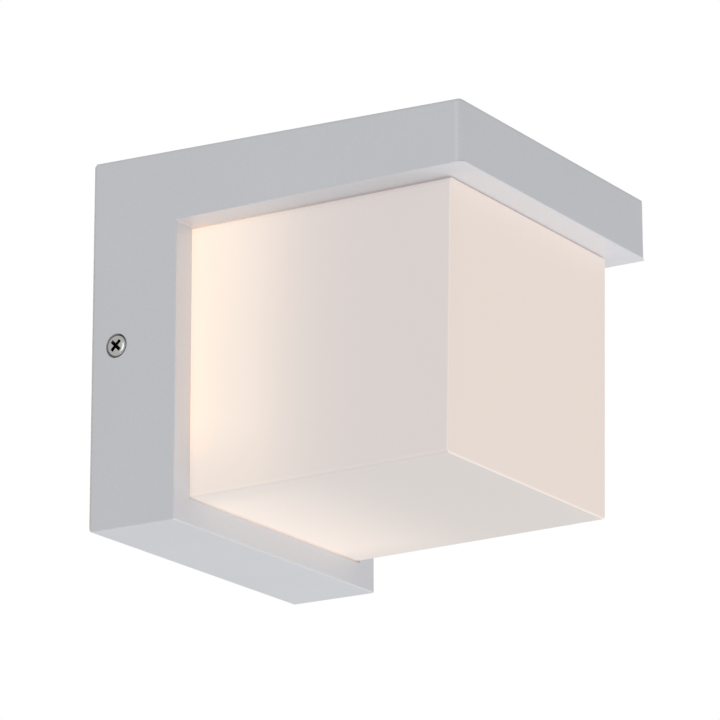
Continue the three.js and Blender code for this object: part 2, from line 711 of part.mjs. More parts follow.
function driverCaseSolid() {
  const shell = cut(
    block([-driverHalf, driverHalf], [driverFrontY, coverFrontY - SEAT], [driverBottom, driverTop]),
    block(
      [-driverHalf + DRIVER_WALL, driverHalf - DRIVER_WALL],
      [driverFrontY + DRIVER_WALL, driverRearY],
      [driverBottom + DRIVER_WALL, driverTop - DRIVER_WALL],
    ),
  );
  const ears = sides.map(({ sign }) =>
    block(
      span(sign * (driverHalf - DRIVER_WALL), sign * (driverHalf + DRIVER_EAR)),
      [driverFrontY, driverFrontY + DRIVER_WALL],
      [DRIVER_MIDDLE - EAR_WIDTH / 2, DRIVER_MIDDLE + EAR_WIDTH / 2],
    ),
  );
  const earHoles = clearanceHoles(M3, driverScrews, [driverFrontY - CUT, driverFrontY + DRIVER_WALL + CUT]);
  const leadHoles = sides.flatMap(({ sign }) =>
    driverLeadZ.map((z) =>
      rod(
        "x",
        LEAD_RADIUS + RUNNING,
        span(sign * (driverHalf - DRIVER_WALL - CUT), sign * (driverHalf + CUT)),
        [driverLeadY, z],
        12,
      ),
    ),
  );
  return cut(join(shell, ...ears), ...earHoles, ...leadHoles);
}

function driverCoverSolid() {
  const lid = block([-driverHalf, driverHalf], [coverFrontY, driverRearY], [driverBottom, driverTop]);
  const inset = DRIVER_WALL + RUNNING;
  const spigot = (grow) =>
    block(
      [-driverHalf + inset + grow, driverHalf - inset - grow],
      [coverFrontY - 1.5, coverFrontY + (grow ? -SEAT : CUT / 2)],
      [driverBottom + inset + grow, driverTop - inset - grow],
    );
  return join(lid, cut(spigot(0), spigot(1.2)));
}

const driverBoardInset = DRIVER_WALL + RUNNING;
add("driver_case", driverCaseSolid(), whitePlastic);
add("driver_cover", driverCoverSolid(), whitePlastic);
add(
  "driver_board",
  block(
    [-driverHalf + driverBoardInset, driverHalf - driverBoardInset],
    [driverBoardY, driverPartsY - SEAT],
    [driverBottom + driverBoardInset, driverTop - driverBoardInset],
  ),
  greenBoard,
);

/** The transformer: a wound bobbin between the two halves of its ferrite core. */
function transformerSolid() {
  const core = cut(block([-7.5, 7.5], [0, 7.5], [-6, 6]), block([-4.8, 4.8], [-CUT, 8.5], [-7, 7]));
  const bobbin = block([-5.5, 5.5], [0.8, 6.8], [-7.8, 7.8]);
  return join(core, bobbin);
}

/** A round electrolytic capacitor with a rolled groove near its base, along Y. */
function capacitorSolid(radius, height) {
  return turned([
    [0, 0],
    [radius, 0],
    [radius, 1],
    [radius * 0.92, 1.4],
    [radius, 1.8],
    [radius, height - 0.5],
    [radius - 0.5, height],
    [0, height],
  ]);
}

/** A choke wound on a ferrite ring that lies flat. */
function chokeSolid() {
  return turned([[1.8, 0], [4.6, 0], [5.2, 0.8], [5.2, 4.2], [4.6, 5], [1.8, 5], [1.8, 0]]);
}

add("driver_transformer", transformerSolid(), ferriteTape, [2, driverPartsY, DRIVER_MIDDLE + 3]);
add("driver_input_capacitor", capacitorSolid(4, 6.8), canBlue, [19, driverPartsY, DRIVER_MIDDLE + 7]);
add("driver_output_capacitor", capacitorSolid(4, 6.8), darkPart, [-19, driverPartsY, DRIVER_MIDDLE + 7]);
add("driver_choke", chokeSolid(), darkPart, [-16, driverPartsY, DRIVER_MIDDLE - 6]);
driverScrews.forEach(([x, z], i) =>
  add(
    `driver_screw_${sides[i].name}`,
    panScrew(M3, 12),
    zincSteel,
    [x, driverFrontY + DRIVER_WALL + SEAT, z],
    HEAD_TO_WALL,
  ),
);

// ---- Terminal block and earth -------------------------------------------------------------------

const blockFrontY = plateRearY + SEAT;
const blockRearY = blockFrontY + BLOCK_DEPTH;
const poleXs = Array.from({ length: POLES }, (_, i) => (i - (POLES - 1) / 2) * POLE_PITCH);
const CLAMP_OFFSET = 4.6; // clamp screw axis from the block's middle
const WIRE_WAY = 1.9; // radius of the way that a conductor enters by
const wireWayY = blockFrontY + 5;
const clampSeatY = blockRearY - 2.4;

function terminalBlockSolid() {
  const halfZ = BLOCK_HEIGHT / 2;
  const base = block(
    [-BLOCK_WIDTH / 2, BLOCK_WIDTH / 2],
    [blockFrontY, blockFrontY + 8],
    [BLOCK_MIDDLE - halfZ, BLOCK_MIDDLE + halfZ],
  );
  const towers = poleXs.map((x) =>
    block([x - 3.6, x + 3.6], [blockFrontY + 7, blockRearY], [BLOCK_MIDDLE - halfZ + 1, BLOCK_MIDDLE + halfZ - 1]),
  );
  const ways = poleXs.map((x) =>
    rod("z", WIRE_WAY, [BLOCK_MIDDLE - halfZ - CUT, BLOCK_MIDDLE + halfZ + CUT], [x, wireWayY], 16),
  );
  const wells = poleXs.flatMap((x) =>
    [-CLAMP_OFFSET, CLAMP_OFFSET].map((dz) =>
      rod("y", CLAMP_SCREW.head + RUNNING, [wireWayY, blockRearY + CUT], [x, BLOCK_MIDDLE + dz], 16),
    ),
  );
  const fixing = rod("y", M3.shank + RUNNING, [blockFrontY - CUT, blockRearY], blockScrewPlace, 16);
  const fixingWell = rod("y", M3.head + RUNNING / 2, [blockFrontY + 3.5, blockRearY], blockScrewPlace, 16);
  return cut(join(base, ...towers), ...ways, ...wells, fixing, fixingWell);
}

add("terminal_block", terminalBlockSolid(), whitePlastic);
add(
  "terminal_block_screw",
  panScrew({ ...M3, length: BLOCK_SCREW_LENGTH }, 12),
  zincSteel,
  [blockScrewPlace[0], blockFrontY + 3.5 + SEAT, blockScrewPlace[1]],
  HEAD_TO_WALL,
);
["supply", "driver"].forEach((side, row) =>
  poleXs.forEach((x, pole) =>
    add(
      `terminal_screw_${side}_${pole + 1}`,
      panScrew(CLAMP_SCREW, 10),
      brass,
      [x, clampSeatY, BLOCK_MIDDLE + (row ? CLAMP_OFFSET : -CLAMP_OFFSET)],
      HEAD_TO_WALL,
    ),
  ),
);

const RING_TERMINAL = { bore: 2.1, radius: 4, thickness: 0.8, tongue: 7, barrel: 1.8 };

/** A crimped ring terminal: a washer with a barrel that points up along +Z. */
function ringTerminalSolid() {
  const { bore, radius, thickness, tongue, barrel } = RING_TERMINAL;
  const tube = rod("z", barrel, [radius - 1, radius + tongue], [0, barrel], 12);
  const neck = block([-1.6, 1.6], [0, thickness], [radius - 1.5, radius + 1.5]);
  const body = join(washerSolid(bore, radius, thickness), neck, tube);
  return cut(body, rod("z", LEAD_RADIUS + RUNNING, [radius, radius + tongue + CUT], [0, barrel], 12));
}

add(
  "earth_ring_terminal",
  ringTerminalSolid(),
  zincSteel,
  [earthScrewPlace[0], plateRearY + SEAT, earthScrewPlace[1]],
);
add(
  "earth_screw",
  panScrew({ ...M3, length: EARTH_SCREW_LENGTH }, 12),
  greenPaint,
  [earthScrewPlace[0], plateRearY + RING_TERMINAL.thickness + 2 * SEAT, earthScrewPlace[1]],
  HEAD_TO_WALL,
);

// ---- Internal leads -----------------------------------------------------------------------------

const blockTop = BLOCK_MIDDLE + BLOCK_HEIGHT / 2;
const clampedZ = BLOCK_MIDDLE + CLAMP_OFFSET - 2; // end of a conductor under its clamp screw
const driverInside = driverHalf - DRIVER_WALL - 3;
const padX = -(boardWidth / 2) + 2.2; // solder pads on the LED board
const padY = boardFrontY - LEAD_RADIUS - 0.2;
const [upperHole, lowerHole] = driverLeadZ;

// The two LED leads drop beside the driver, one behind the other, pass the grommet stacked, and run
// side by side to their pads.
const dropX = -(driverHalf + 10.5);
const kneeZ = boardMiddle + 9;
const ledLeads = [
  { name: "led_lead_positive", material: redPvc, z: lowerHole, dropY: driverLeadY - 2.2, stack: 1 },
  { name: "led_lead_negative", material: blackPvc, z: upperHole, dropY: driverLeadY, stack: -1 },
];
for (const { name, material, z, dropY, stack } of ledLeads) {
  const throughZ = boardMiddle + stack * (LEAD_RADIUS + LEAD_GAP / 2);
  const corners = [
    [-driverInside, driverLeadY, z],
    [-driverHalf - 2, driverLeadY, z, 1],
    [dropX, dropY, z, LEAD_BEND],
    [dropX, dropY, kneeZ, 2],
    [leadHoleX, dropY, throughZ, 3],
    [leadHoleX, padY, throughZ, 1.4],
    [padX, padY, throughZ],
  ];
  add(name, lead(corners), material);
}

// Live and neutral leave the block's upper side, pass right of the driver, and enter its end.
const supplyLeads = [
  { name: "live_lead", material: blackPvc, x: poleXs[2], crossZ: blockTop + 6.5, riseX: 42, z: upperHole },
  { name: "neutral_lead", material: whitePvc, x: poleXs[1], crossZ: blockTop + 11, riseX: 37.5, z: lowerHole },
];
for (const { name, material, x, crossZ, riseX, z } of supplyLeads) {
  const corners = [
    [x, wireWayY, clampedZ],
    [x, wireWayY, crossZ, LEAD_BEND],
    [riseX, driverLeadY, crossZ, LEAD_BEND],
    [riseX, driverLeadY, z, LEAD_BEND],
    [driverInside, driverLeadY, z],
  ];
  add(name, lead(corners), material);
}

const earthLeadY = plateRearY + SEAT + RING_TERMINAL.barrel;
const earthLead = lead([
  [poleXs[0], wireWayY, clampedZ],
  [poleXs[0], wireWayY, blockTop + 9, LEAD_BEND],
  [earthScrewPlace[0], earthLeadY, blockTop + 9, LEAD_BEND],
  [earthScrewPlace[0], earthLeadY, BLOCK_MIDDLE + RING_TERMINAL.radius + 2],
]);
add("earth_lead", earthLead, greenPvc);

export default lantern;
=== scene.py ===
"""Finishes the wall lantern: bevelled castings and mouldings, threaded screws, and their surfaces.

Every length is in metres, in the lantern's own frame: the wall is the plane Y = 0, the lantern stands
out towards -Y, and +Z is up.
"""

import math

import bmesh
import bpy
from bpy.props import FloatProperty, FloatVectorProperty, PointerProperty
from bpy.types import Operator, Panel, PropertyGroup
from mathutils import Matrix, Vector


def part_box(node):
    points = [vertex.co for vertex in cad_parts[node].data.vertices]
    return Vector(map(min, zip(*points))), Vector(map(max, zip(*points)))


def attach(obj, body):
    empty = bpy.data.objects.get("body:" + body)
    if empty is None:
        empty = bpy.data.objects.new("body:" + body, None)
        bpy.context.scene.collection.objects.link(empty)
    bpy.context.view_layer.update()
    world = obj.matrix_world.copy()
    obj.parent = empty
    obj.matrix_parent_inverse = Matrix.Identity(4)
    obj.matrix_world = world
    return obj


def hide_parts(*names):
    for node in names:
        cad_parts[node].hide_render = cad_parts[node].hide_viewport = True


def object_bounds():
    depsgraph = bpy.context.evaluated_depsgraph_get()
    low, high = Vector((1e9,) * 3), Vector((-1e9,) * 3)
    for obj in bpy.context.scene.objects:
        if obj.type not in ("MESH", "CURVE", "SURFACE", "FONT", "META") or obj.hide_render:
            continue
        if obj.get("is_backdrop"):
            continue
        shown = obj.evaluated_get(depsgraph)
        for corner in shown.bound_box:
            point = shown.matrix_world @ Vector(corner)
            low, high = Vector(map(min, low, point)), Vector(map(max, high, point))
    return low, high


bl_info = {
    "name": "Outdoor Wall Lantern",
    "version": (1, 0, 0),
    "blender": (4, 5, 0),
    "location": "3D View > Sidebar > Lantern",
    "description": "Builds the visible pieces of an outdoor wall lantern round its CAD frame",
    "category": "Object",
}

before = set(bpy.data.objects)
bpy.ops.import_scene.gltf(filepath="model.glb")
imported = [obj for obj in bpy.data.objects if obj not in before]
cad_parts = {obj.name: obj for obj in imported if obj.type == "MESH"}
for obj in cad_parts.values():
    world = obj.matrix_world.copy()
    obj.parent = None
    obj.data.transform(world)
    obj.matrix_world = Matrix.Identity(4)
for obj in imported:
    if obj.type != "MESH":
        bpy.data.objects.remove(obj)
CAD_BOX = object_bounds()
MM = 0.001
BODY = "lantern"
SIDES = (("left", -1), ("right", 1))
ALONG = 0.9  # an edge runs along an axis when that axis has more than this share of its direction


def length(name, description, millimetres):
    """A property that holds a length."""
    return FloatProperty(name=name, description=description, default=millimetres * MM, unit="LENGTH", precision=5)


def turning(name, description, degrees):
    """A property that holds an angle."""
    return FloatProperty(name=name, description=description, default=math.radians(degrees), subtype="ANGLE")


def colour(name, description, default):
    """A property that holds a linear colour."""
    return FloatVectorProperty(name=name, description=description, default=default, subtype="COLOR", size=3)


# ---- Settings ----


class LanternSizes(PropertyGroup):
    """Sizes of the finishing work. The overall sizes come from the CAD frame."""

    wall: length("Wall", "Thickness of the housing's walls", 3)
    column_front: length("Column front", "Wall plane to the column's front face", 31.4)
    arm_thickness: length("Arm thickness", "Height of the arm's front face", 19.9)
    roof_fall: length("Roof fall", "How much lower the roof is at its front edge than at the wall", 3.9)
    arm_corner: length("Arm corner", "Radius of the arm's two upright front edges", 2.6)
    arm_edge: length("Arm edge", "Radius of the arm's upper front edge", 1.2)
    cross_edge: length("Cross edge", "Radius of the other edges that run across the lantern", 0.5)
    side_edge: length("Side edge", "Radius of the edges round the two side faces", 0.28)
    roof_edge: length("Roof edge", "Radius of the edges along the roof's sides", 1.1)
    opening_gap: length("Opening gap", "Gap between the diffuser and its opening", 0.35)
    screw_recess: length("Screw recess", "Depth of the counterbore that hides each side screw", 3.4)
    recess_radius: length("Recess radius", "Radius of that counterbore", 3.8)
    screw_crown: length("Screw crown", "How much the side screws' domed heads stand over their CAD height", 0.4)
    diffuser_wall: length("Diffuser wall", "Thickness of the opal walls", 2.5)
    diffuser_edge: length("Diffuser edge", "Radius of the edges round the diffuser's front face", 0.7)
    diffuser_side_edge: length("Diffuser side edge", "Radius of the edges along the diffuser's sides", 1.4)
    flange: length("Flange", "Width of the diffuser's flange", 2.5)


class LanternFinishes(PropertyGroup):
    """Colours of the finishes."""

    paint: colour("Paint", "Satin silver-grey powder paint", (0.77, 0.78, 0.815))
    opal: colour("Opal", "Opal acrylic, unlit", (0.62, 0.6, 0.585))
    glow_near: colour("Glow at the wall", "Light through the opal next to the column", (0.6, 0.475, 0.375))
    glow_hot: colour("Glow at the seam", "Warm light that the opal adds right at the column", (0.11, 0.03, 0.0))
    glow_far: colour("Glow at the front", "Light through the sides at their front", (0.285, 0.243, 0.232))
    glow_under: colour("Glow underneath", "Light through the opal's underside", (0.175, 0.145, 0.135))
    glow_face: colour("Glow on the face", "Light through the opal's front face", (0.375, 0.29, 0.24))
    lamp: colour("Lamp", "Light of the LEDs", (1.0, 0.72, 0.4))
    zinc: colour("Zinc", "Bright zinc plating", (0.5, 0.52, 0.55))
    stainless: colour("Stainless", "Stainless steel", (0.8, 0.79, 0.77))
    brass: colour("Brass", "Machined brass", (0.55, 0.37, 0.12))
    rubber: colour("Rubber", "Black rubber", (0.018, 0.018, 0.02))


class LanternStage(PropertyGroup):
    """The camera and the light."""

    lens: FloatProperty(name="Lens", description="Focal length", default=211.75, unit="CAMERA")
    azimuth: turning("Azimuth", "Camera round the lantern", -57.8965)
    elevation: turning("Elevation", "Camera above the horizon", -16.5574)
    roll: turning("Roll", "Camera about its axis", -0.1301)
    distance: length("Distance", "Camera to its aim", 1322.3)
    aim: FloatVectorProperty(
        name="Aim", description="What the camera looks at", default=(0, -0.05725, -0.00075), subtype="TRANSLATION"
    )
    aim_right: length("Aim right", "The aim's offset to the camera's right", 4.03)
    aim_up: length("Aim up", "The aim's offset upwards", 2.6)
    mounting_height: length("Mounting height", "Floor to the lantern's centre", 1800)
    ambient: FloatProperty(name="Ambient", description="Strength of the even studio light", default=0.515)


# ---- Node helpers ----


class Out:
    """A node's output. Python arithmetic on it adds Math nodes."""

    def __init__(self, tree, socket):
        self.tree = tree
        self.socket = socket

    def math(self, operation, *operands):
        return self.tree.node(self.tree.math_type, {"operation": operation}, dict(enumerate(operands)))

    def __add__(self, other):
        return self.math("ADD", self, other)

    def __sub__(self, other):
        return self.math("SUBTRACT", self, other)

    def __rsub__(self, other):
        return self.math("SUBTRACT", other, self)

    def __mul__(self, other):
        return self.math("MULTIPLY", self, other)

    def __truediv__(self, other):
        return self.math("DIVIDE", self, other)

    def __neg__(self):
        return self.math("MULTIPLY", self, -1.0)

    def __abs__(self):
        return self.math("ABSOLUTE", self)

    __radd__ = __add__
    __rmul__ = __mul__


class Tree:
    """Builds the nodes of a material or of a Geometry Nodes group."""

    math_type = "ShaderNodeMath"

    def __init__(self, node_tree):
        self.tree = node_tree

    def node(self, kind, settings=None, inputs=None, output=0):
        """Adds a node of any type: its settings first, then values or links for its sockets."""
        made = self.tree.nodes.new(kind)
        for key, value in (settings or {}).items():
            if key == "stops":
                self._set_stops(made.color_ramp, value)
            else:
                setattr(made, key, value)
        for key, value in (inputs or {}).items():
            self.put(made.inputs[key], value)
        return Out(self, made.outputs[output]) if len(made.outputs) else made

    def put(self, socket, value):
        """Links an output to the socket, or sets its value."""
        if isinstance(value, Out):
            self.tree.links.new(value.socket, socket)
        elif socket.type == "RGBA" and len(value) == 3:
            socket.default_value = (*value, 1)
        else:
            socket.default_value = value

    @staticmethod
    def _set_stops(ramp, stops):
        ramp.interpolation = "B_SPLINE"
        while len(ramp.elements) < len(stops):
            ramp.elements.new(1)
        for element, (position, value) in zip(ramp.elements, stops):
            element.position = position
            element.color = (value, value, value, 1) if isinstance(value, (int, float)) else (*value, 1)

    def other(self, out, name):
        """Another output of the node that `out` comes from."""
        return Out(self, out.socket.node.outputs[name])

    def mix(self, factor, a, b, blend="MIX"):
        """A colour between a and b."""
        settings = {"data_type": "RGBA", "blend_type": blend}
        return self.node("ShaderNodeMix", settings, {"Factor": factor, 6: a, 7: b}, output=2)

    def ramp(self, value, *stops):
        return self.node("ShaderNodeValToRGB", {"stops": stops}, {"Fac": value})

    def smooth(self, value, low, high, to_low=0.0, to_high=1.0):
        """A smooth step of a value."""
        inputs = {"Value": value, "From Min": low, "From Max": high, "To Min": to_low, "To Max": to_high}
        return self.node("ShaderNodeMapRange", {"interpolation_type": "SMOOTHSTEP"}, inputs)

    def place(self, scale=(1, 1, 1), turn=(0, 0, 0)):
        """Object coordinates, scaled and turned."""
        coordinates = self.node("ShaderNodeTexCoord", output="Object")
        return self.node("ShaderNodeMapping", None, {"Vector": coordinates, "Scale": scale, "Rotation": turn})

    def noise(self, size, detail=3.0, roughness=0.55, stretch=(1, 1, 1), distortion=0.0):
        """Noise whose features are about `size` metres across."""
        inputs = {
            "Vector": self.place(stretch),
            "Scale": 1 / size,
            "Detail": detail,
            "Roughness": roughness,
            "Distortion": distortion,
        }
        return self.node("ShaderNodeTexNoise", None, inputs)

    def cells(self, size, feature="F1", stretch=(1, 1, 1), output="Distance"):
        """Cells about `size` metres across."""
        inputs = {"Vector": self.place(stretch), "Scale": 1 / size}
        return self.node("ShaderNodeTexVoronoi", {"feature": feature}, inputs, output)

    def bump(self, height, distance, strength=1.0, normal=None):
        inputs = {"Height": height, "Distance": distance, "Strength": strength}
        if normal:
            inputs["Normal"] = normal
        return self.node("ShaderNodeBump", None, inputs)


BUILDERS = {}
FINISHES = {}


def finish(build):
    """Declares a material: the function carries its name and fills its node tree."""
    BUILDERS[build.__name__] = build
    return build


def family(build, rows):
    """Declares a material for each row of a table: its name, then the values that its build takes."""
    for name, values in rows.items():
        BUILDERS[name] = lambda tree, colours, values=values: build(tree, *values)


def material_of(name):
    """The material of that name, built when it is first asked for."""
    if name not in FINISHES:
        made = bpy.data.materials.new(name)
        made.use_nodes = True
        made.node_tree.nodes.clear()
        FINISHES[name] = made
        tree = Tree(made.node_tree)
        shader = BUILDERS[name](tree, bpy.context.scene.lantern_finishes)
        tree.node("ShaderNodeOutputMaterial", None, {"Surface": shader})
    return FINISHES[name]


def principled(tree, **inputs):
    """A Principled shader; its socket names are given with underscores."""
    return tree.node("ShaderNodeBsdfPrincipled", None, {key.replace("_", " "): v for key, v in inputs.items()})


def surface(tree, base, roughness, relief, depth, strength, **inputs):
    """A Principled shader with a relief that is `depth` millimetres deep."""
    normal = tree.bump(relief, depth * MM, strength)
    return principled(tree, Base_Color=base, Roughness=roughness, Normal=normal, **inputs)


def metal(tree, base, roughness, relief, depth, strength=0.4, metallic=1.0):
    """A metal whose colour is painted near-black inside a screw's drive recess: painted shade, where the recess
    lies in shadow.
    """
    # Painted shade: faces marked as the drive recess take a near-black colour.
    inside = tree.node("ShaderNodeAttribute", {"attribute_name": "recess"}, output="Fac")
    base = tree.mix(inside, base, (0.035, 0.026, 0.024))
    return surface(tree, base, roughness, relief, depth, strength, Metallic=metallic)


def darker(rgb, factor):
    return tuple(c * factor for c in rgb)


# ---- Finishes ----


@finish
def satin_silver_paint(tree, colours):
    grain = tree.noise(0.5 * MM, detail=4)
    cloud = tree.noise(34 * MM, detail=2)
    fleck = tree.cells(0.22 * MM, output="Color")
    sparkle = tree.smooth(tree.node("ShaderNodeSeparateColor", None, {"Color": fleck}), 0.86, 0.98)
    shade = 0.96 + cloud * 0.05 + grain * 0.03 + sparkle * 0.06
    tint = tree.node("ShaderNodeCombineColor", None, dict.fromkeys(range(3), shade))
    fine = tree.bump(grain, 0.02 * MM, 0.35)
    return principled(
        tree,
        Base_Color=tree.mix(1.0, tuple(colours.paint), tint, "MULTIPLY"),
        Roughness=0.42 + grain * 0.1 + cloud * 0.05,
        Metallic=0.2,
        Normal=tree.bump(tree.noise(2.4 * MM, detail=1), 0.03 * MM, 0.25, fine),
        Coat_Weight=0.15,
        Coat_Roughness=0.3,
    )


# How the light through the opal fades from the column to the front face, over the diffuser's depth.
GLOW_DEPTHS = (0.0, 0.09, 0.18, 0.25, 0.31, 0.4, 0.5, 0.64, 0.8)
GLOW_LEFT = (1.0, 0.96, 0.79, 0.65, 0.5, 0.28, 0.11, 0.03, 0.0)


@finish
def opal_acrylic(tree, colours):
    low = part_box("diffuser")[0]
    column = -bpy.context.scene.lantern_sizes.column_front
    across = tree.node("ShaderNodeSeparateXYZ", None, {"Vector": tree.place()})
    along, height = tree.other(across, "Y"), tree.other(across, "Z")
    depth = (along - column) / (low.y - column)
    facing = tree.node("ShaderNodeNewGeometry", output="Normal")
    forward = tree.node("ShaderNodeSeparateXYZ", None, {"Vector": facing}, output="Y")
    near = tree.ramp(depth, *zip(GLOW_DEPTHS, GLOW_LEFT))
    corner = tree.smooth(abs(across), 30 * MM, 48 * MM) * tree.smooth(-height, 24 * MM, 50 * MM)
    under = tree.smooth(-tree.other(forward, "Z"), 0.4, 0.9)
    upper = tree.smooth(height, -10 * MM, 30 * MM)
    near = near * (1 - corner * near * 0.5) * (1 - under * 0.45) * (1 + upper * 0.1)
    far = tree.mix(under, tuple(colours.glow_far), tuple(colours.glow_under))
    sides = tree.mix(near, far, tuple(colours.glow_near))
    # Next to the column the light through the sides is at its warmest, and tints the column's face.
    hot = tree.smooth(depth, 0.03, 0.11, 1.0, 0.0) * tree.smooth(height, -42 * MM, -22 * MM) * (1 - under)
    sides = tree.mix(hot, sides, tuple(colours.glow_hot), "ADD")
    rim = tree.smooth(abs(across), 36 * MM, 49 * MM) * 0.12
    face = tree.mix(rim, tuple(colours.glow_face), tuple(colours.glow_far))
    glow = tree.mix(tree.smooth(-forward, 0.35, 0.95), sides, face)
    # Painted highlight: the rounded edges round the front face glow brighter, in the colour of the glow near the
    # wall, in place of the highlights that they catch.
    edge = tree.smooth(-forward, 0.2, 0.5) * tree.smooth(1 + forward, 0.06, 0.3)
    mottle = tree.noise(5 * MM, detail=3)
    grain = tree.noise(0.35 * MM, detail=2)
    base = tree.mix(mottle * 0.35, tuple(colours.opal), darker(colours.opal, 0.94))
    lit = {"Emission_Color": tree.mix(edge * 0.28, glow, tuple(colours.glow_near)), "Emission_Strength": 1.0}
    coat = {"Coat_Weight": 0.2, "Coat_Roughness": 0.2, "IOR": 1.49}
    return surface(tree, base, 0.36 + grain * 0.08, grain, 0.01, 0.3, **lit, **coat)


@finish
def bright_zinc(tree, colours):
    spangle = tree.cells(3.2 * MM, output="Color")
    tone = tree.node("ShaderNodeSeparateColor", None, {"Color": spangle})
    rolled = tree.noise(0.9 * MM, detail=4, stretch=(0.12, 1, 1))
    haze = tree.noise(9 * MM, detail=3)
    base = tree.mix(tone * 0.35 + haze * 0.4, tuple(colours.zinc), darker(colours.zinc, 0.74))
    return metal(tree, base, 0.24 + rolled * 0.16 + haze * 0.1, rolled, 0.015)


@finish
def stainless_steel(tree, colours):
    smear = tree.noise(1.4 * MM, detail=3)
    base = tree.mix(smear * 0.5, tuple(colours.stainless), darker(colours.stainless, 0.8))
    return metal(tree, base, 0.2 + smear * 0.14, tree.noise(0.16 * MM, detail=2), 0.006, 0.35)


@finish
def machined_brass(tree, colours):
    smear = tree.noise(1.2 * MM, detail=3)
    base = tree.mix(smear, tuple(colours.brass), darker(colours.brass, 0.66))
    return metal(tree, base, 0.24 + smear * 0.2, tree.noise(0.2 * MM), 0.008)


@finish
def green_zinc(tree, colours):
    smear = tree.noise(1.1 * MM, detail=3)
    base = tree.mix(smear, (0.05, 0.3, 0.09), (0.1, 0.42, 0.2))
    return metal(tree, base, 0.26 + smear * 0.2, tree.noise(0.2 * MM), 0.008, metallic=0.75)


@finish
def sheet_aluminium(tree, colours):
    rolled = tree.noise(0.5 * MM, detail=5, stretch=(1, 1, 0.06))
    haze = tree.noise(16 * MM, detail=3)
    base = tree.mix(rolled * 0.5 + haze * 0.3, (0.62, 0.63, 0.645), (0.46, 0.47, 0.48))
    return metal(tree, base, 0.3 + rolled * 0.2, rolled, 0.012, 0.5)


@finish
def black_rubber(tree, colours):
    bloom = tree.noise(3 * MM, detail=4)
    grain = tree.noise(0.18 * MM, detail=3)
    dusty = tuple(c + 0.03 for c in colours.rubber)
    base = tree.mix(tree.smooth(bloom, 0.45, 0.75) * 0.6, tuple(colours.rubber), dusty)
    return surface(tree, base, 0.62 + bloom * 0.2, grain, 0.02, 0.6, IOR=1.52)


@finish
def closed_cell_foam(tree, colours):
    pores = tree.cells(0.42 * MM)
    # Painted shade: the pits of the pores, where the relief is lowest, are painted darker.
    deep = tree.smooth(pores, 0.05, 0.45)
    base = tree.mix(deep, (0.5, 0.5, 0.48), (0.74, 0.74, 0.72))
    return surface(tree, base, 0.85 + pores * 0.1, deep, 0.12, 0.7)


@finish
def silicone_seal(tree, colours):
    haze = tree.noise(1.5 * MM, detail=3)
    base = tree.mix(haze, (0.66, 0.65, 0.6), (0.74, 0.73, 0.69))
    return surface(tree, base, 0.42 + haze * 0.15, haze, 0.02, 0.4)


@finish
def yellow_tape(tree, colours):
    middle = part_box("driver_transformer")[0].x + 7.5 * MM
    where = tree.node("ShaderNodeSeparateXYZ", None, {"Vector": tree.place()}, output="X")
    ferrite = tree.smooth(abs(where - middle), 4.7 * MM, 5.0 * MM)
    speck = tree.noise(0.3 * MM, detail=3)
    base = tree.mix(ferrite, (0.66, 0.42, 0.03), tree.mix(speck, (0.03, 0.03, 0.032), (0.06, 0.06, 0.062)))
    return surface(tree, base, 0.35 + ferrite * 0.3, speck, 0.02, 0.4)


@finish
def led_phosphor(tree, colours):
    speck = tree.noise(0.2 * MM, detail=3)
    return principled(
        tree,
        Base_Color=tree.mix(speck, (0.86, 0.66, 0.16), (0.92, 0.76, 0.3)),
        Roughness=0.3 + speck * 0.2,
        Emission_Color=tree.mix(speck, tuple(colours.lamp), darker(colours.lamp, 0.9)),
        Emission_Strength=2.0,
    )


@finish
def pale_floor(tree, colours):
    cloud = tree.noise(0.6, detail=4)
    return principled(
        tree,
        Base_Color=tree.mix(cloud, (0.8, 0.8, 0.8), (0.84, 0.84, 0.835)),
        Roughness=0.75 + cloud * 0.1,
        Emission_Color=(1, 1, 1, 1),
        Emission_Strength=0.34,
    )


def moulded_plastic(tree, base, texture, roughness):
    """Injection-moulded plastic with a fine eroded texture and faint flow marks."""
    eroded = tree.noise(texture * MM, detail=3)
    flow = tree.noise(11 * MM, detail=3, distortion=0.6)
    base = tree.mix(flow * 0.5, base, darker(base, 0.9))
    return surface(tree, base, roughness + eroded * 0.14, eroded, 0.02, 0.5, IOR=1.55)


def insulation(tree, base):
    """Glossy extruded insulation with faint drawing marks."""
    drawn = tree.noise(0.4 * MM, detail=3)
    base = tree.mix(drawn * 0.5, base, darker(base, 0.8))
    return surface(tree, base, 0.3 + drawn * 0.14, drawn, 0.01, 0.4, IOR=1.53)


def circuit_board(tree, mask, track, roughness):
    """Solder mask over copper tracks: the tracks stand a little proud and show through."""
    lanes = tree.cells(5.5 * MM, "DISTANCE_TO_EDGE", stretch=(1, 0.001, 1))
    tracks = tree.smooth(lanes, 0.06, 0.1)
    speck = tree.noise(0.4 * MM, detail=3)
    base = tree.mix(tracks, track, mask)
    return surface(tree, base, roughness + speck * 0.1, 1 - tracks, 0.035, 0.6, IOR=1.5)


# Colour, texture size in millimetres and roughness.
family(
    moulded_plastic,
    {
        "white_polycarbonate": ((0.76, 0.76, 0.73), 0.3, 0.45),
        "black_sleeve": ((0.03, 0.031, 0.035), 0.5, 0.35),
        "blue_sleeve": ((0.025, 0.05, 0.13), 0.5, 0.25),
    },
)
family(
    insulation,
    {
        "red_insulation": ((0.42, 0.025, 0.02),),
        "black_insulation": ((0.022, 0.022, 0.024),),
        "white_insulation": ((0.7, 0.68, 0.63),),
        "green_insulation": ((0.05, 0.27, 0.07),),
    },
)
# Mask colour, track colour and roughness.
family(
    circuit_board,
    {
        "white_circuit_board": ((0.86, 0.86, 0.83), (0.8, 0.79, 0.74), 0.28),
        "green_circuit_board": ((0.02, 0.13, 0.05), (0.06, 0.24, 0.08), 0.3),
    },
)

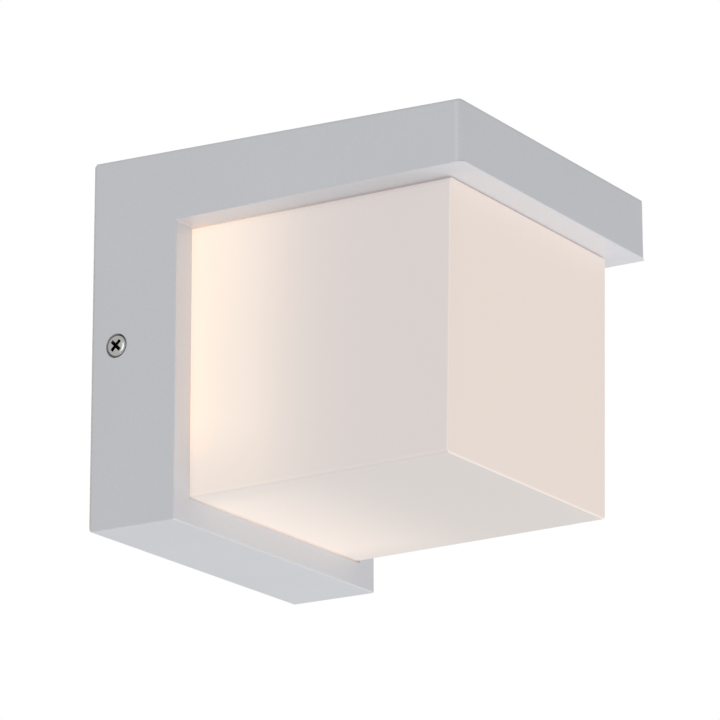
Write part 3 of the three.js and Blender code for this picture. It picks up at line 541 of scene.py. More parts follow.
# The frame's slot for each finish. A finish that isn't listed has a slot of the same name.
SLOTS = {
    "satin_silver_paint": "silver_paint",
    "bright_zinc": "zinc_steel",
    "machined_brass": "brass",
    "green_zinc": "green_paint",
    "silicone_seal": "silicone",
    "white_polycarbonate": "white_plastic",
    "black_sleeve": "black_component",
    "blue_sleeve": "blue_can",
    "yellow_tape": "transformer_tape",
    "white_circuit_board": "white_solder_mask",
    "green_circuit_board": "green_solder_mask",
}


# ---- Mesh helpers ----


def mesh_of(vertices, faces):
    mesh = bpy.data.meshes.new("piece")
    mesh.from_pydata(vertices, [], faces)
    return mesh


def block(low, high):
    """A box between two corners."""
    corners = [(x, y, z) for x in (low[0], high[0]) for y in (low[1], high[1]) for z in (low[2], high[2])]
    return mesh_of(corners, [(0, 1, 3, 2), (4, 6, 7, 5), (0, 4, 5, 1), (2, 3, 7, 6), (0, 2, 6, 4), (1, 5, 7, 3)])


def prism(outline, place):
    """A closed outline of (u, v) pairs, run between two ends. place(u, v, end) gives each corner."""
    count = len(outline)
    vertices = [place(u, v, end) for end in (0, 1) for u, v in outline]
    faces = [tuple(range(count)), tuple(reversed(range(count, 2 * count)))]
    faces += [(i, i + count, (i + 1) % count + count, (i + 1) % count) for i in range(count)]
    return faced_out(mesh_of(vertices, faces))


def turned(profile, place, sides=48):
    """A solid of revolution through (radius, height) pairs. place(x, y, height) gives each corner."""
    vertices, faces = [], []
    for radius, height in profile:
        for i in range(sides):
            angle = 2 * math.pi * i / sides
            vertices.append(place(radius * math.cos(angle), radius * math.sin(angle), height))
    for ring in range(len(profile) - 1):
        for i in range(sides):
            a, b = ring * sides + i, ring * sides + (i + 1) % sides
            faces.append((a, b, b + sides, a + sides))
    faces.append(tuple(reversed(range(sides))))
    faces.append(tuple(range(len(vertices) - sides, len(vertices))))
    return faced_out(mesh_of(vertices, faces))


def faced_out(mesh):
    """Merges doubled corners and turns every face outwards."""
    work = bmesh.new()
    work.from_mesh(mesh)
    bmesh.ops.remove_doubles(work, verts=work.verts, dist=1e-7)
    bmesh.ops.recalc_face_normals(work, faces=work.faces)
    work.to_mesh(mesh)
    work.free()
    return mesh


def modified(mesh, *modifiers):
    """The mesh after a list of (type, settings) modifiers."""
    work = bpy.data.objects.new("work", mesh)
    bpy.context.scene.collection.objects.link(work)
    for kind, settings in modifiers:
        added = work.modifiers.new(kind, kind)
        for key, value in settings.items():
            setattr(added, key, value)
    return evaluated(work)


def evaluated(work):
    """The plain mesh of a work object with its modifiers applied; the object goes."""
    graph = bpy.context.evaluated_depsgraph_get()
    source = work.evaluated_get(graph)
    result = bpy.data.meshes.new_from_object(source, preserve_all_data_layers=True, depsgraph=graph)
    bpy.data.objects.remove(work)
    return result


def combined(mesh, operation, tools):
    """The mesh after a boolean with each tool."""
    objects = [bpy.data.objects.new("tool", tool) for tool in tools]
    for obj in objects:
        bpy.context.scene.collection.objects.link(obj)
    steps = [("BOOLEAN", {"operation": operation, "solver": "EXACT", "object": obj}) for obj in objects]
    result = modified(mesh, *steps)
    for obj in objects:
        bpy.data.objects.remove(obj)
    return result


def rounded(mesh, radius_of, segments=4):
    """Rounds each edge by the radius that radius_of(middle, direction) gives."""
    weights = mesh.attributes.new("bevel_weight_edge", "FLOAT", "EDGE")
    radii = []
    for edge in mesh.edges:
        a, b = (mesh.vertices[i].co for i in edge.vertices)
        radii.append(radius_of((a + b) / 2, (b - a).normalized()))
    largest = max(radii)
    for item, radius in zip(weights.data, radii):
        item.value = radius / largest
    settings = {"limit_method": "WEIGHT", "width": largest, "segments": segments, "use_clamp_overlap": False}
    return modified(mesh, ("BEVEL", settings))


def shaded(mesh, angle=32):
    """Smooth shading that keeps edges over the angle sharp and flat faces flat."""
    mesh.shade_smooth()
    mesh.set_sharp_from_angle(angle=math.radians(angle))
    return modified(mesh, ("WEIGHTED_NORMAL", {"keep_sharp": True, "mode": "FACE_AREA", "weight": 60}))


def cad_copy(node):
    """A merged copy of a CAD node's mesh, with its flat faces whole."""
    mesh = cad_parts[node].data.copy()
    work = bmesh.new()
    work.from_mesh(mesh)
    bmesh.ops.remove_doubles(work, verts=work.verts, dist=2e-6)
    bmesh.ops.dissolve_limit(work, angle_limit=math.radians(0.5), verts=work.verts, edges=work.edges)
    work.to_mesh(mesh)
    work.free()
    for name in [a.name for a in mesh.attributes if a.name.startswith(("custom_normal", "sharp"))]:
        mesh.attributes.remove(mesh.attributes[name])
    return mesh


def softened(node, radius, segments=2):
    """A copy of a CAD node with its sharp edges rounded."""
    settings = {
        "limit_method": "ANGLE",
        "angle_limit": math.radians(40),
        "width": radius,
        "segments": segments,
        "use_clamp_overlap": True,
    }
    return modified(cad_copy(node), ("BEVEL", settings))


def add_piece(name, mesh, finish_name, nodes, body=BODY, angle=32):
    """Adds a finished piece that stands for CAD nodes and moves with a CAD body."""
    mesh.materials.clear()
    mesh.materials.append(material_of(finish_name))
    mesh = shaded(mesh, angle)
    mesh.name = name
    piece = bpy.data.objects.new(name, mesh)
    bpy.context.scene.collection.objects.link(piece)
    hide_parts(*nodes)
    SLOTS.get(finish_name, finish_name)
    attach(piece, body)
    return piece


def add_softened(rows, segments=2):
    """Adds rounded copies of CAD nodes. Each row: piece, node, edge radius in millimetres and finish."""
    for name, node, radius, finish_name in rows:
        add_piece(name, softened(node, radius * MM, segments), finish_name, [node])


# ---- Geometry Nodes ----


class Group(Tree):
    """Builds a Geometry Nodes group with named inputs."""

    def __init__(self, name, inputs):
        super().__init__(bpy.data.node_groups.new(name, "GeometryNodeTree"))
        sockets = self.tree.interface
        sockets.new_socket("Geometry", in_out="OUTPUT", socket_type="NodeSocketGeometry")
        sockets.new_socket("Points", in_out="INPUT", socket_type="NodeSocketGeometry")
        for label, kind in inputs.items():
            sockets.new_socket(label, in_out="INPUT", socket_type=f"NodeSocket{kind}")
        self.source = self.tree.nodes.new("NodeGroupInput")

    def input(self, label):
        return Out(self, self.source.outputs[label])

    def vector(self, x=0.0, y=0.0, z=0.0):
        return self.node("ShaderNodeCombineXYZ", None, {"X": x, "Y": y, "Z": z})

    def by_index(self, values):
        """One value for each point of a line, in order."""
        switch = self.tree.nodes.new("GeometryNodeIndexSwitch")
        switch.data_type = "FLOAT"
        while len(switch.index_switch_items) < len(values):
            switch.index_switch_items.new()
        self.put(switch.inputs["Index"], self.node("GeometryNodeInputIndex"))
        for i, value in enumerate(values):
            self.put(switch.inputs[i + 1], value)
        return Out(self, switch.outputs[0])

    def moved(self, geometry, translation=None, rotation=(0, 0, 0), scale=(1, 1, 1)):
        inputs = {"Geometry": geometry, "Rotation": rotation, "Scale": scale}
        if translation:
            inputs["Translation"] = translation
        return self.node("GeometryNodeTransform", None, inputs)

    def lathe(self, radii, heights, sides):
        """A solid turned about Z through radii at heights."""
        line = self.node("GeometryNodeMeshLine", None, {"Count": len(radii), "Offset": (0, 0, 1)})
        inputs = {"Geometry": line, "Position": self.vector(z=self.by_index(heights))}
        placed = self.node("GeometryNodeSetPosition", None, inputs)
        curve = self.node("GeometryNodeMeshToCurve", None, {"Mesh": placed})
        ring = self.node("GeometryNodeCurvePrimitiveCircle", None, {"Resolution": sides, "Radius": 1.0})
        inputs = {"Curve": curve, "Profile Curve": ring, "Scale": self.by_index(radii), "Fill Caps": True}
        return self.node("GeometryNodeCurveToMesh", None, inputs)

    def cut(self, body, *cutters):
        """The body less the cutters."""
        made = self.tree.nodes.new("GeometryNodeMeshBoolean")
        made.operation = "DIFFERENCE"
        made.solver = "EXACT"
        self.put(made.inputs["Mesh 1"], body)
        for cutter in cutters:
            self.put(made.inputs["Mesh 2"], cutter)
        return Out(self, made.outputs["Mesh"])

    def marked(self, geometry, name, value):
        """Stores a number on every face, for the material to read."""
        settings = {"data_type": "FLOAT", "domain": "FACE"}
        inputs = {"Geometry": geometry, "Name": name, "Value": value}
        return self.node("GeometryNodeStoreNamedAttribute", settings, inputs)

    def join(self, *geometries):
        made = self.tree.nodes.new("GeometryNodeJoinGeometry")
        for geometry in geometries:
            self.put(made.inputs[0], geometry)
        return Out(self, made.outputs[0])

    def finish(self, geometry):
        """Ends the group: real meshes with the given material."""
        real = self.node("GeometryNodeRealizeInstances", None, {"Geometry": geometry})
        inputs = {"Geometry": real, "Material": self.input("Material")}
        ended = self.node("GeometryNodeSetMaterial", None, inputs)
        self.node("NodeGroupOutput", None, {"Geometry": ended})
        return self.tree


def screw_group():
    """Pan head machine screws with a cross recess and a real thread, one on each point."""
    lengths = ("Head Radius", "Head Height", "Shank Radius", "Shank Length", "Pitch", "Recess Radius")
    group = Group("Pan Head Screws", {**dict.fromkeys(lengths, "Float"), "Sides": "Int", "Material": "Material"})
    head, height, shank, reach, pitch, recess = (group.input(label) for label in lengths)
    thread = pitch * 0.32
    core = shank - thread
    profile = [
        (core * 0.7, -reach),
        (core, thread * 2 - reach),
        (core, -thread),
        (shank, -thread * 0.2),
        (shank, -0.004 * MM),
        (head * 0.96, 0.0),
        (head, height * 0.05),
        (head, height * 0.6),
        (head * 0.985, height * 0.74),
        (head * 0.94, height * 0.86),
        (head * 0.86, height * 0.94),
        (head * 0.72, height * 0.985),
        (head * 0.4, height),
    ]
    body = group.lathe([r for r, _ in profile], [h for _, h in profile], group.input("Sides"))
    cutters = []
    clear = 0.3 * MM
    for quarter in (0.25, 0.75):
        depth = recess * 0.7 + clear
        inputs = {"Vertices": 4, "Radius Top": recess, "Radius Bottom": recess * 0.55, "Depth": depth}
        wing = group.moved(group.node("GeometryNodeMeshCone", None, inputs), rotation=(0, 0, math.pi / 4))
        wing = group.moved(wing, scale=(1.414, 0.36, 1))
        wing = group.moved(wing, rotation=(0, 0, quarter * math.pi))
        cutters.append(group.moved(wing, translation=group.vector(z=height - recess * 0.7)))
    depth = recess * 0.78 + clear * 1.5
    inputs = {"Vertices": 12, "Radius Top": recess * 0.36, "Radius Bottom": recess * 0.2, "Depth": depth}
    hub = group.node("GeometryNodeMeshCone", None, inputs)
    cutters.append(group.moved(hub, translation=group.vector(z=height - recess * 0.78)))
    # The drive recess is marked here so that the metal finishes paint it near-black as painted shade.
    recessed = [group.marked(cutter, "recess", 1.0) for cutter in cutters]
    headed = group.cut(group.marked(body, "recess", 0.0), *recessed)
    wound = reach - thread * 3
    inputs = {"Resolution": 20, "Rotations": wound / pitch, "Height": wound}
    coil = group.node("GeometryNodeCurveSpiral", None, {**inputs, "Start Radius": core, "End Radius": core})
    coil = group.moved(coil, translation=group.vector(z=thread * 2 - reach))
    tooth = group.node("GeometryNodeCurvePrimitiveCircle", None, {"Resolution": 4, "Radius": thread})
    inputs = {"Curve": coil, "Profile Curve": tooth, "Fill Caps": True}
    ridge = group.node("GeometryNodeCurveToMesh", None, inputs)
    screw = group.join(headed, ridge)
    axis = group.node("GeometryNodeInputNamedAttribute", {"data_type": "FLOAT_VECTOR"}, {"Name": "drive"})
    turn = group.node("FunctionNodeAlignRotationToVector", {"axis": "Z"}, {"Vector": axis})
    inputs = {"Points": group.input("Points"), "Instance": screw, "Rotation": turn}
    return group.finish(group.node("GeometryNodeInstanceOnPoints", None, inputs))


def led_group():
    """LED packages on a grid, each a square body with a round well and a domed lens in it."""
    kinds = {"Pitch X": "Float", "Pitch Z": "Float", "Columns": "Int", "Rows": "Int", "Width": "Float"}
    group = Group("LED Grid", {**kinds, "Depth": "Float", "Height": "Float", "Material": "Material"})
    width, depth, height = group.input("Width"), group.input("Depth"), group.input("Height")

    def lathe(profile, sides):
        """A turned solid from shares of the package's width and height."""
        return group.lathe([width * r for r, _ in profile], [height * h for _, h in profile], sides)

    body = lathe([(0.66, 0.01), (0.7071, 0.12), (0.7071, 0.7), (0.62, 1.0)], 4)
    body = group.moved(body, rotation=(0, 0, math.pi / 4), scale=group.vector(1.0, depth / width, 1.0))
    well = lathe([(0.34, 0.6), (0.4, 1.2)], 24)
    lens = lathe([(0.34, 0.55), (0.36, 0.8), (0.3, 0.92), (0.12, 0.98)], 24)
    flat = group.vector(1.0, 0.78, 1.0)
    package = group.join(group.cut(body, group.moved(well, scale=flat)), group.moved(lens, scale=flat))
    column, row = group.input("Columns") - 1, group.input("Rows") - 1
    size_x, size_y = column * group.input("Pitch X"), row * group.input("Pitch Z")
    vertices = {"Vertices X": group.input("Columns"), "Vertices Y": group.input("Rows")}
    grid = group.node("GeometryNodeMeshGrid", None, {"Size X": size_x, "Size Y": size_y, **vertices})
    placed = group.node("GeometryNodeInstanceOnPoints", None, {"Points": grid, "Instance": package})
    upright = group.moved(placed, rotation=(math.pi / 2, 0, 0))
    inputs = {"Points": group.input("Points"), "Instance": upright}
    return group.finish(group.node("GeometryNodeInstanceOnPoints", None, inputs))


def grown(group, points, values, axes=None):
    """Runs a Geometry Nodes group on points, and returns its plain mesh."""
    mesh = mesh_of(points, [])
    if axes:
        drive = mesh.attributes.new("drive", "FLOAT_VECTOR", "POINT")
        for item, axis in zip(drive.data, axes):
            item.vector = axis
    work = bpy.data.objects.new("work", mesh)
    bpy.context.scene.collection.objects.link(work)
    nodes = work.modifiers.new("nodes", "NODES")
    nodes.node_group = group
    sockets = {s.name: s.identifier for s in group.interface.items_tree if s.in_out == "INPUT"}
    for label, value in values.items():
        nodes[sockets[label]] = value
    result = evaluated(work)
    if not len(result.polygons):
        raise RuntimeError(f"{group.name} made no faces")
    return result


# ---- Screws ----

# Head radius, head height, shank radius, shank length, pitch and recess radius, in millimetres.
SCREW_SIZES = {
    "side": (3.43, 2.46, 1.75, 9.5, 0.794, 2.35),
    "plate": (2.3, 1.7, 1.25, 5.5, 0.45, 1.5),
    "fixing": (2.8, 1.9, 1.5, 3.2, 0.5, 1.8),
    "block": (2.8, 1.9, 1.5, 5.4, 0.5, 1.8),
    "earth": (2.8, 1.9, 1.5, 2.6, 0.5, 1.8),
    "bracket_earth": (3.8, 2.6, 1.9, 4.2, 0.7, 2.4),
    "clamp": (1.7, 1.4, 1.4, 3.0, 0.4, 1.1),
}
SCREW_LABELS = ("Head Radius", "Head Height", "Shank Radius", "Shank Length", "Pitch", "Recess Radius")


def screws(name, size, nodes, axis, finish_name, body=BODY, sides=32, crown=0.0):
    """Threaded screws in place of CAD ones. Each one's axis points from its tip to its head."""
    axis = Vector(axis)
    head_height = SCREW_SIZES[size][1] * MM
    points = []
    for node in nodes:
        low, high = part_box(node)
        middle = (low + high) / 2
        along = max(low.dot(axis), high.dot(axis)) - head_height
        points.append(middle + axis * (along - middle.dot(axis)))
    group = bpy.data.node_groups.get("Pan Head Screws") or screw_group()
    values = {label: value * MM for label, value in zip(SCREW_LABELS, SCREW_SIZES[size])}
    values["Head Height"] += crown
    values |= {"Sides": sides, "Material": material_of(finish_name)}
    mesh = grown(group, points, values, [axis] * len(points))
    return add_piece(name, mesh, finish_name, nodes, body)


# ---- Operators ----


class LANTERN_OT_stage(Operator):
    """Places the camera, the pale floor and the soft studio light"""

    bl_idname = "lantern.stage"
    bl_label = "Stage"

    FLOOR_REACH = 14
    SENSOR_WIDTH = 36
    CLIP = (0.05, 50)
    # A large panel low in front lights the undersides, and two smaller ones the sides:
    # name, place, size and power.
    PANELS = (
        ("low_panel", (0.35, -0.62, -1.3), 1.8, 11.2),
        ("left_panel", (-1.5, -0.15, 0.1), 0.9, 3.0),
        ("right_panel", (1.5, 0.2, 0.1), 0.9, 3.0),
    )

    def execute(self, context):
        stage = context.scene.lantern_stage
        self.camera(context.scene, stage)
        self.floor(context.scene, stage)
        self.lights(context.scene, stage)
        return {"FINISHED"}

    def camera(self, scene, stage):
        a, e = stage.azimuth, stage.elevation
        back = Vector((math.sin(a) * math.cos(e), -math.cos(a) * math.cos(e), math.sin(e)))
        right = (-back).cross(Vector((0, 0, 1))).normalized()
        up = right.cross(-back)
        aim = Vector(stage.aim) + right * stage.aim_right + up * stage.aim_up
        cos, sin = math.cos(stage.roll), math.sin(stage.roll)
        right, up = right * cos + up * sin, up * cos - right * sin
        data = bpy.data.cameras.new("camera")
        data.lens = stage.lens
        data.sensor_width = self.SENSOR_WIDTH
        data.clip_start, data.clip_end = self.CLIP
        camera = bpy.data.objects.new("camera", data)
        turn = Matrix((right, up, back)).transposed().to_4x4()
        camera.matrix_world = Matrix.Translation(aim + back * stage.distance) @ turn
        scene.collection.objects.link(camera)
        scene.camera = camera

    def floor(self, scene, stage):
        reach, level = self.FLOOR_REACH, -stage.mounting_height
        corners = [(-reach, -reach, level), (reach, -reach, level), (reach, reach, level), (-reach, reach, level)]
        mesh = mesh_of(corners, [(0, 1, 2, 3)])
        mesh.materials.append(material_of("pale_floor"))
        floor = bpy.data.objects.new("floor", mesh)
        # The floor is only a backdrop: the studio's light reaches the lantern from below as well.
        floor.visible_diffuse = False
        floor.visible_glossy = False
        scene.collection.objects.link(floor)
        floor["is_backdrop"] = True

    def lights(self, scene, stage):
        world = bpy.data.worlds.new("studio")
        world.use_nodes = True
        world.node_tree.nodes.clear()
        tree = Tree(world.node_tree)
        even = tree.node("ShaderNodeBackground", None, {"Color": (1, 1, 1), "Strength": stage.ambient})
        white = tree.node("ShaderNodeBackground", None, {"Color": (1, 1, 1), "Strength": 1.0})
        seen = tree.node("ShaderNodeLightPath", output="Is Camera Ray")
        both = tree.node("ShaderNodeMixShader", None, {0: seen, 1: even, 2: white})
        tree.node("ShaderNodeOutputWorld", None, {"Surface": both})
        scene.world = world
        scene.view_settings.view_transform = "Standard"
        for name, place, size, power in self.PANELS:
            data = bpy.data.lights.new(name, "AREA")
            data.size = size
            data.energy = power
            light = bpy.data.objects.new(name, data)
            light.location = place
            light.rotation_euler = Vector(place).to_track_quat("Z", "Y").to_euler()
            light.visible_camera = False
            scene.collection.objects.link(light)


class LANTERN_OT_housing(Operator):
    """Builds the cast housing: an L-shaped shell with rounded edges, ribs and counterbored sides"""

    bl_idname = "lantern.housing"
    bl_label = "Housing"

    ROOT = 0.5 * MM  # how far a rib or pad runs into the wall behind it
    CLEAR = 1 * MM  # how far a cutting tool runs past what it cuts
    NEAR = 0.01 * MM
    REAR_EDGE = 0.25 * MM
    INNER_EDGE = 0.8 * MM
    RIB_DEPTH = 2.8 * MM  # screw ribs, from the side wall
    RIB_HALF = 6.5 * MM
    RIB_SETBACK = 1.2 * MM
    PAD_DEPTH = 4.7 * MM  # corner pads, from the side wall
    PAD_ABOVE = 4.0 * MM
    PAD_UPPER = 7 * MM
    PAD_GAP = 0.05 * MM
    SHANK_HOLE = 2.05 * MM
    RIM = 0.35 * MM  # chamfer round each counterbore
    PILOT = 1.4 * MM
    PILOT_PAST = 0.2 * MM
    PLATE_SCREWS = {-1: ("heat_sink_screw_1", "heat_sink_screw_2"), 1: ("heat_sink_screw_3", "heat_sink_screw_4")}

    def execute(self, context):
        sizes = context.scene.lantern_sizes
        low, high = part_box("housing")
        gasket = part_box("diffuser_gasket")
        front = -sizes.column_front
        inner_front = front + sizes.wall
        # The roof slopes from the wall to its front edge.
        roof_front = high.z - sizes.roof_fall / -low.y * (high.y - low.y)
        under = roof_front - sizes.arm_thickness
        shell = self.shell(sizes, low, high, front, under, roof_front)
        inner = high.x - sizes.wall
        hollow_outline = [
            (high.y + self.CLEAR, low.z + sizes.wall),
            (inner_front, low.z + sizes.wall),
            (inner_front, under + sizes.wall),
            (low.y + sizes.wall, under + sizes.wall),
            (low.y + sizes.wall, roof_front - sizes.wall),
            (high.y + self.CLEAR, high.z - sizes.wall),
        ]
        hollow = rounded(prism(hollow_outline, self.across(inner)), lambda middle, direction: self.INNER_EDGE, 2)
        opening_half = -gasket[0].x - sizes.flange + sizes.opening_gap
        low_edge = gasket[0].z + sizes.flange - sizes.opening_gap
        opening = block(
            (-opening_half, front - self.CLEAR, low_edge), (opening_half, inner_front + self.CLEAR, under)
        )
        body = combined(shell, "DIFFERENCE", [hollow, opening])
        body = combined(body, "UNION", self.ribs(sizes, low, high, inner, inner_front, under))
        body = combined(body, "DIFFERENCE", self.holes(sizes, high.x, inner))
        add_piece("housing_shell", body, "satin_silver_paint", ["housing"])
        return {"FINISHED"}

    @staticmethod
    def across(reach):
        return lambda u, v, end: (reach if end else -reach, u, v)

    def shell(self, sizes, low, high, front, under, roof_front):
        """The casting's outside."""
        outline = [
            (high.y, low.z),
            (front, low.z),
            (front, under),
            (low.y, under),
            (low.y, roof_front),
            (high.y, high.z),
        ]
        roof_middle = (high.z + roof_front) / 2

        def radius_of(middle, direction):
            at_front = middle.y < low.y + self.NEAR
            if abs(middle.y - high.y) < self.NEAR:
                return self.REAR_EDGE
            if abs(direction.x) > ALONG:
                return sizes.arm_edge if at_front and middle.z > roof_front - self.NEAR else sizes.cross_edge
            if at_front:
                return sizes.arm_corner
            return sizes.roof_edge if abs(middle.z - roof_middle) < self.NEAR else sizes.side_edge

        return rounded(prism(outline, self.across(high.x)), radius_of)

    def ribs(self, sizes, low, high, inner, inner_front, under):
        """On each side the screw rib, the low corner pad and the upper one."""
        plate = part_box("heat_sink_plate")
        pad_rear = plate[0].y - self.PAD_GAP
        floor, arm_floor = low.z + sizes.wall - self.ROOT, under + sizes.wall
        column, arm = inner_front - self.ROOT, low.y + sizes.wall - self.ROOT
        # Depth from the side wall, then both ends along Y and along Z.
        spans = (
            (self.RIB_DEPTH, column, high.y - self.RIB_SETBACK, -self.RIB_HALF, self.RIB_HALF),
            (self.PAD_DEPTH, column, pad_rear, floor, plate[0].z + self.PAD_ABOVE),
            (self.PAD_DEPTH, arm, pad_rear, arm_floor - self.ROOT, arm_floor + self.PAD_UPPER),
        )
        ribs = []
        for _, sign in SIDES:
            for depth, y0, y1, z0, z1 in spans:
                x0, x1 = sorted((sign * (inner - depth), sign * (inner + self.ROOT)))
                ribs.append(block((x0, y0, z0), (x1, y1, z1)))
        return ribs

    def holes(self, sizes, half, inner):
        """On each side the counterbored screw hole and the pilot holes for the plate's screws."""
        plate_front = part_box("heat_sink_plate")[0].y
        floor, radius, rim = half - sizes.screw_recess, sizes.recess_radius, self.RIM
        profile = [
            (self.SHANK_HOLE, inner - self.RIB_DEPTH - self.CLEAR),
            (self.SHANK_HOLE, floor),
            (radius, floor),
            (radius, half - rim),
            (radius + rim * 0.3, half - rim * 0.3),
            (radius + rim, half),
            (radius + rim, half + self.CLEAR),
        ]
        holes = []
        for side, sign in SIDES:
            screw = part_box(f"side_screw_{side}")
            holes.append(turned(profile, self.sideways(sign, (screw[0].y + screw[1].y) / 2), 64))
            for node in self.PLATE_SCREWS[sign]:
                tip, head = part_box(node)
                pilot = [(self.PILOT, tip.y - self.PILOT_PAST), (self.PILOT, plate_front + self.CLEAR)]
                holes.append(turned(pilot, self.along_y((tip + head) / 2), 16))
        return holes

    @staticmethod
    def sideways(sign, axis_y):
        return lambda x, y, height: (sign * height, axis_y + x, y)

    @staticmethod
    def along_y(centre):
        return lambda x, y, height: (centre.x + x, height, centre.z + y)


class LANTERN_OT_diffuser(Operator):
    """Builds the opal diffuser: a drafted five-sided box with a flange"""

    bl_idname = "lantern.diffuser"
    bl_label = "Diffuser"

    SIDE_DRAFT = 0.6 * MM
    UNDER_DRAFT = 1.2 * MM
    FRONT_DRAFT = 1.8 * MM
    FLANGE_THICKNESS = 2 * MM
    NOTCH_X = 5.0 * MM  # the flange's cut corners clear the housing's pads
    NOTCH_Z = 4.3 * MM

    def execute(self, context):
        sizes = context.scene.lantern_sizes
        low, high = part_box("diffuser")
        rear = high.y
        edge = sizes.diffuser_edge

        def radius_of(middle, direction):
            if abs(middle.y - rear) < 0.1 * MM:
                return 0.0
            return sizes.diffuser_side_edge if abs(direction.y) > ALONG else edge

        outer = rounded(self.form(sizes, 0, rear), radius_of, 4)
        inner = rounded(self.form(sizes, sizes.diffuser_wall, rear + 1 * MM), lambda middle, direction: edge, 3)
        notch_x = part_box("housing")[1].x - sizes.wall - self.NOTCH_X
        notch_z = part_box("heat_sink_plate")[0].z + self.NOTCH_Z
        flange_front = rear - self.FLANGE_THICKNESS
        flange = block((low.x, flange_front, notch_z), (high.x, rear, high.z))
        skirt = block((-notch_x, flange_front, low.z), (notch_x, rear, notch_z + 0.5 * MM))
        body = combined(outer, "UNION", [flange, skirt])
        body = combined(body, "DIFFERENCE", [inner])
        add_piece("opal_diffuser", body, "opal_acrylic", ["diffuser"])
        return {"FINISHED"}

    def form(self, sizes, inset, rear):
        """The drafted box, this far inside its outer faces."""
        low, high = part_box("diffuser")
        front, half = low.y + inset, high.x - sizes.flange - inset
        top, bottom = high.z - sizes.flange - inset, low.z + sizes.flange + inset
        ends = (
            (rear, rear, half, bottom),
            (front + self.FRONT_DRAFT, front, half - self.SIDE_DRAFT, bottom + self.UNDER_DRAFT),
        )
        vertices = []
        for low_y, high_y, reach, z in ends:
            vertices += [(-reach, low_y, z), (reach, low_y, z), (reach, high_y, top), (-reach, high_y, top)]
        faces = [(0, 1, 2, 3), (7, 6, 5, 4), (0, 4, 5, 1), (1, 5, 6, 2), (2, 6, 7, 3), (3, 7, 4, 0)]
        return faced_out(mesh_of(vertices, faces))


class LANTERN_OT_side_screws(Operator):
    """Builds the two side screws and their rubber washers"""

    bl_idname = "lantern.side_screws"
    bl_label = "Side Screws"

    def execute(self, context):
        crown = context.scene.lantern_sizes.screw_crown
        for side, sign in SIDES:
            nodes = [f"side_screw_{side}"]
            name, body = f"fixing_screw_{side}", f"{side}_screw"
            screws(name, "side", nodes, (sign, 0, 0), "stainless_steel", body, 48, crown)
            node = f"side_screw_washer_{side}"
            washer = softened(node, 0.14 * MM)
            add_piece(f"rubber_washer_{side}", washer, "black_rubber", [node], f"{body}_carrier")
        return {"FINISHED"}


class LANTERN_OT_fasteners(Operator):
    """Builds the screws inside the lantern and on its bracket"""

    bl_idname = "lantern.fasteners"
    bl_label = "Fasteners"

    def execute(self, context):
        to_wall, to_front = (0, 1, 0), (0, -1, 0)
        plate = [f"heat_sink_screw_{i}" for i in range(1, 5)]
        board = ["led_board_screw_left", "led_board_screw_right"]
        driver = ["driver_screw_left", "driver_screw_right"]
        clamps = [f"terminal_screw_{side}_{i}" for side in ("supply", "driver") for i in (1, 2, 3)]
        screws("plate_screws", "plate", plate, to_wall, "bright_zinc")
        screws("board_screws", "fixing", board, to_front, "bright_zinc")
        screws("power_supply_screws", "fixing", driver, to_wall, "bright_zinc")
        screws("block_screw", "block", ["terminal_block_screw"], to_wall, "bright_zinc")
        screws("clamp_screws", "clamp", clamps, to_wall, "machined_brass")
        screws("plate_earth_screw", "earth", ["earth_screw"], to_wall, "green_zinc")
        screws("wall_earth_screw", "bracket_earth", ["bracket_earth_screw"], to_front, "green_zinc")
        return {"FINISHED"}


class LANTERN_OT_bracket(Operator):
    """Rounds the sheared edges of the wall bracket and finishes it in zinc"""

    bl_idname = "lantern.bracket"
    bl_label = "Bracket"

    ROWS = (
        ("wall_bracket", "mounting_bracket", 0.2, "bright_zinc"),
        ("ring_terminal", "earth_ring_terminal", 0.08, "bright_zinc"),
    )

    def execute(self, context):
        add_softened(self.ROWS)
        return {"FINISHED"}


class LANTERN_OT_seals(Operator):
    """Finishes the foam gasket, the silicone gasket and the rubber grommets"""

    bl_idname = "lantern.seals"
    bl_label = "Seals"

    ROWS = (
        ("foam_gasket", "wall_gasket", 0.15, "closed_cell_foam"),
        ("silicone_gasket", "diffuser_gasket", 0.12, "silicone_seal"),
        ("cable_bush", "cable_grommet", 0.35, "black_rubber"),
        ("lead_bush", "lead_grommet", 0.2, "black_rubber"),
    )

    def execute(self, context):
        add_softened(self.ROWS, 3)
        return {"FINISHED"}


class LANTERN_OT_light_engine(Operator):
    """Builds the heat sink plate, the LED board and its grid of LEDs"""

    bl_idname = "lantern.light_engine"
    bl_label = "Light Engine"

    ROWS = (
        ("carrier_plate", "heat_sink_plate", 0.2, "sheet_aluminium"),
        ("lamp_board", "led_board", 0.1, "white_circuit_board"),
    )

    def execute(self, context):
        add_softened(self.ROWS)
        nodes = [f"led_package_{i:02d}" for i in range(1, 13)]
        corners = [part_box(node) for node in nodes]
        centres = [(low + high) / 2 for low, high in corners]
        xs = sorted({round(c.x, 6) for c in centres})
        zs = sorted({round(c.z, 6) for c in centres})
        size = corners[0][1] - corners[0][0]
        middle = Vector(((xs[0] + xs[-1]) / 2, corners[0][1].y, (zs[0] + zs[-1]) / 2))
        values = {
            "Pitch X": xs[1] - xs[0],
            "Pitch Z": zs[1] - zs[0],
            "Columns": len(xs),
            "Rows": len(zs),
            "Width": size.x,
            "Depth": size.z,
            "Height": size.y,
            "Material": material_of("led_phosphor"),
        }
        add_piece("led_grid", grown(led_group(), [middle], values), "led_phosphor", nodes)
        return {"FINISHED"}


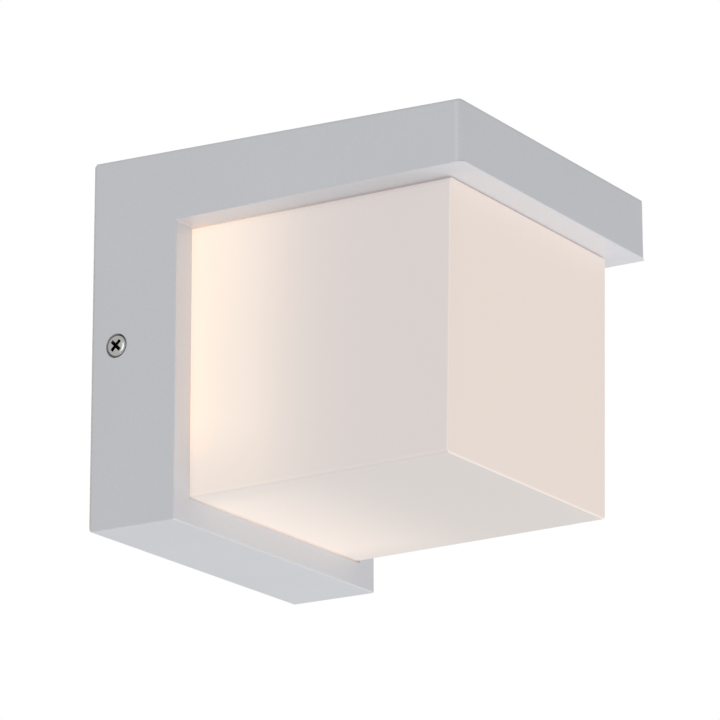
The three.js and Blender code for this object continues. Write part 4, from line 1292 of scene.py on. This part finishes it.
class LANTERN_OT_driver(Operator):
    """Finishes the power supply: its case and cover, its board and the parts on it"""

    bl_idname = "lantern.driver"
    bl_label = "Power Supply"

    ROWS = (
        ("power_supply_case", "driver_case", 0.35, "white_polycarbonate"),
        ("power_supply_cover", "driver_cover", 0.35, "white_polycarbonate"),
        ("power_supply_board", "driver_board", 0.1, "green_circuit_board"),
        ("transformer", "driver_transformer", 0.2, "yellow_tape"),
        ("input_capacitor", "driver_input_capacitor", 0.12, "blue_sleeve"),
        ("output_capacitor", "driver_output_capacitor", 0.12, "black_sleeve"),
        ("choke", "driver_choke", 0.2, "black_sleeve"),
    )

    def execute(self, context):
        add_softened(self.ROWS)
        return {"FINISHED"}


class LANTERN_OT_terminals(Operator):
    """Finishes the terminal block"""

    bl_idname = "lantern.terminals"
    bl_label = "Terminal Block"

    ROWS = (("connector_block", "terminal_block", 0.2, "white_polycarbonate"),)

    def execute(self, context):
        add_softened(self.ROWS)
        return {"FINISHED"}


class LANTERN_OT_leads(Operator):
    """Shades the internal leads smooth and gives them their insulation"""

    bl_idname = "lantern.leads"
    bl_label = "Leads"

    ROWS = (
        ("live_wire", "live_lead", "black_insulation"),
        ("neutral_wire", "neutral_lead", "white_insulation"),
        ("earth_wire", "earth_lead", "green_insulation"),
        ("positive_wire", "led_lead_positive", "red_insulation"),
        ("negative_wire", "led_lead_negative", "black_insulation"),
    )

    def execute(self, context):
        for name, node, finish_name in self.ROWS:
            mesh = faced_out(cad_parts[node].data.copy())
            add_piece(name, mesh, finish_name, [node], angle=60)
        return {"FINISHED"}


class LANTERN_PT_panel(Panel):
    """Lists the lantern's pieces and sizes"""

    bl_idname = "LANTERN_PT_panel"
    bl_label = "Wall Lantern"
    bl_space_type = "VIEW_3D"
    bl_region_type = "UI"
    bl_category = "Lantern"

    def draw(self, context):
        for operator in PIECES:
            self.layout.operator(operator.bl_idname)
        for group in (context.scene.lantern_sizes, context.scene.lantern_finishes, context.scene.lantern_stage):
            box = self.layout.box()
            for key in group.__annotations__:
                box.prop(group, key)


PIECES = (
    LANTERN_OT_stage,
    LANTERN_OT_housing,
    LANTERN_OT_diffuser,
    LANTERN_OT_side_screws,
    LANTERN_OT_fasteners,
    LANTERN_OT_bracket,
    LANTERN_OT_seals,
    LANTERN_OT_light_engine,
    LANTERN_OT_driver,
    LANTERN_OT_terminals,
    LANTERN_OT_leads,
)
SETTINGS = {"lantern_sizes": LanternSizes, "lantern_finishes": LanternFinishes, "lantern_stage": LanternStage}


def register():
    for cls in (*SETTINGS.values(), *PIECES, LANTERN_PT_panel):
        bpy.utils.register_class(cls)
    for name, cls in SETTINGS.items():
        setattr(bpy.types.Scene, name, PointerProperty(type=cls))


def unregister():
    for name in SETTINGS:
        delattr(bpy.types.Scene, name)
    for cls in (LANTERN_PT_panel, *reversed(PIECES), *reversed(SETTINGS.values())):
        bpy.utils.unregister_class(cls)


def main():
    register()
    for operator in PIECES:
        module, name = operator.bl_idname.split(".")
        getattr(getattr(bpy.ops, module), name)()
    boxes = {"cad": CAD_BOX, "visual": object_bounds()}
    {key: [list(corner) for corner in box] for key, box in boxes.items()}


if __name__ == "__main__":
    main()
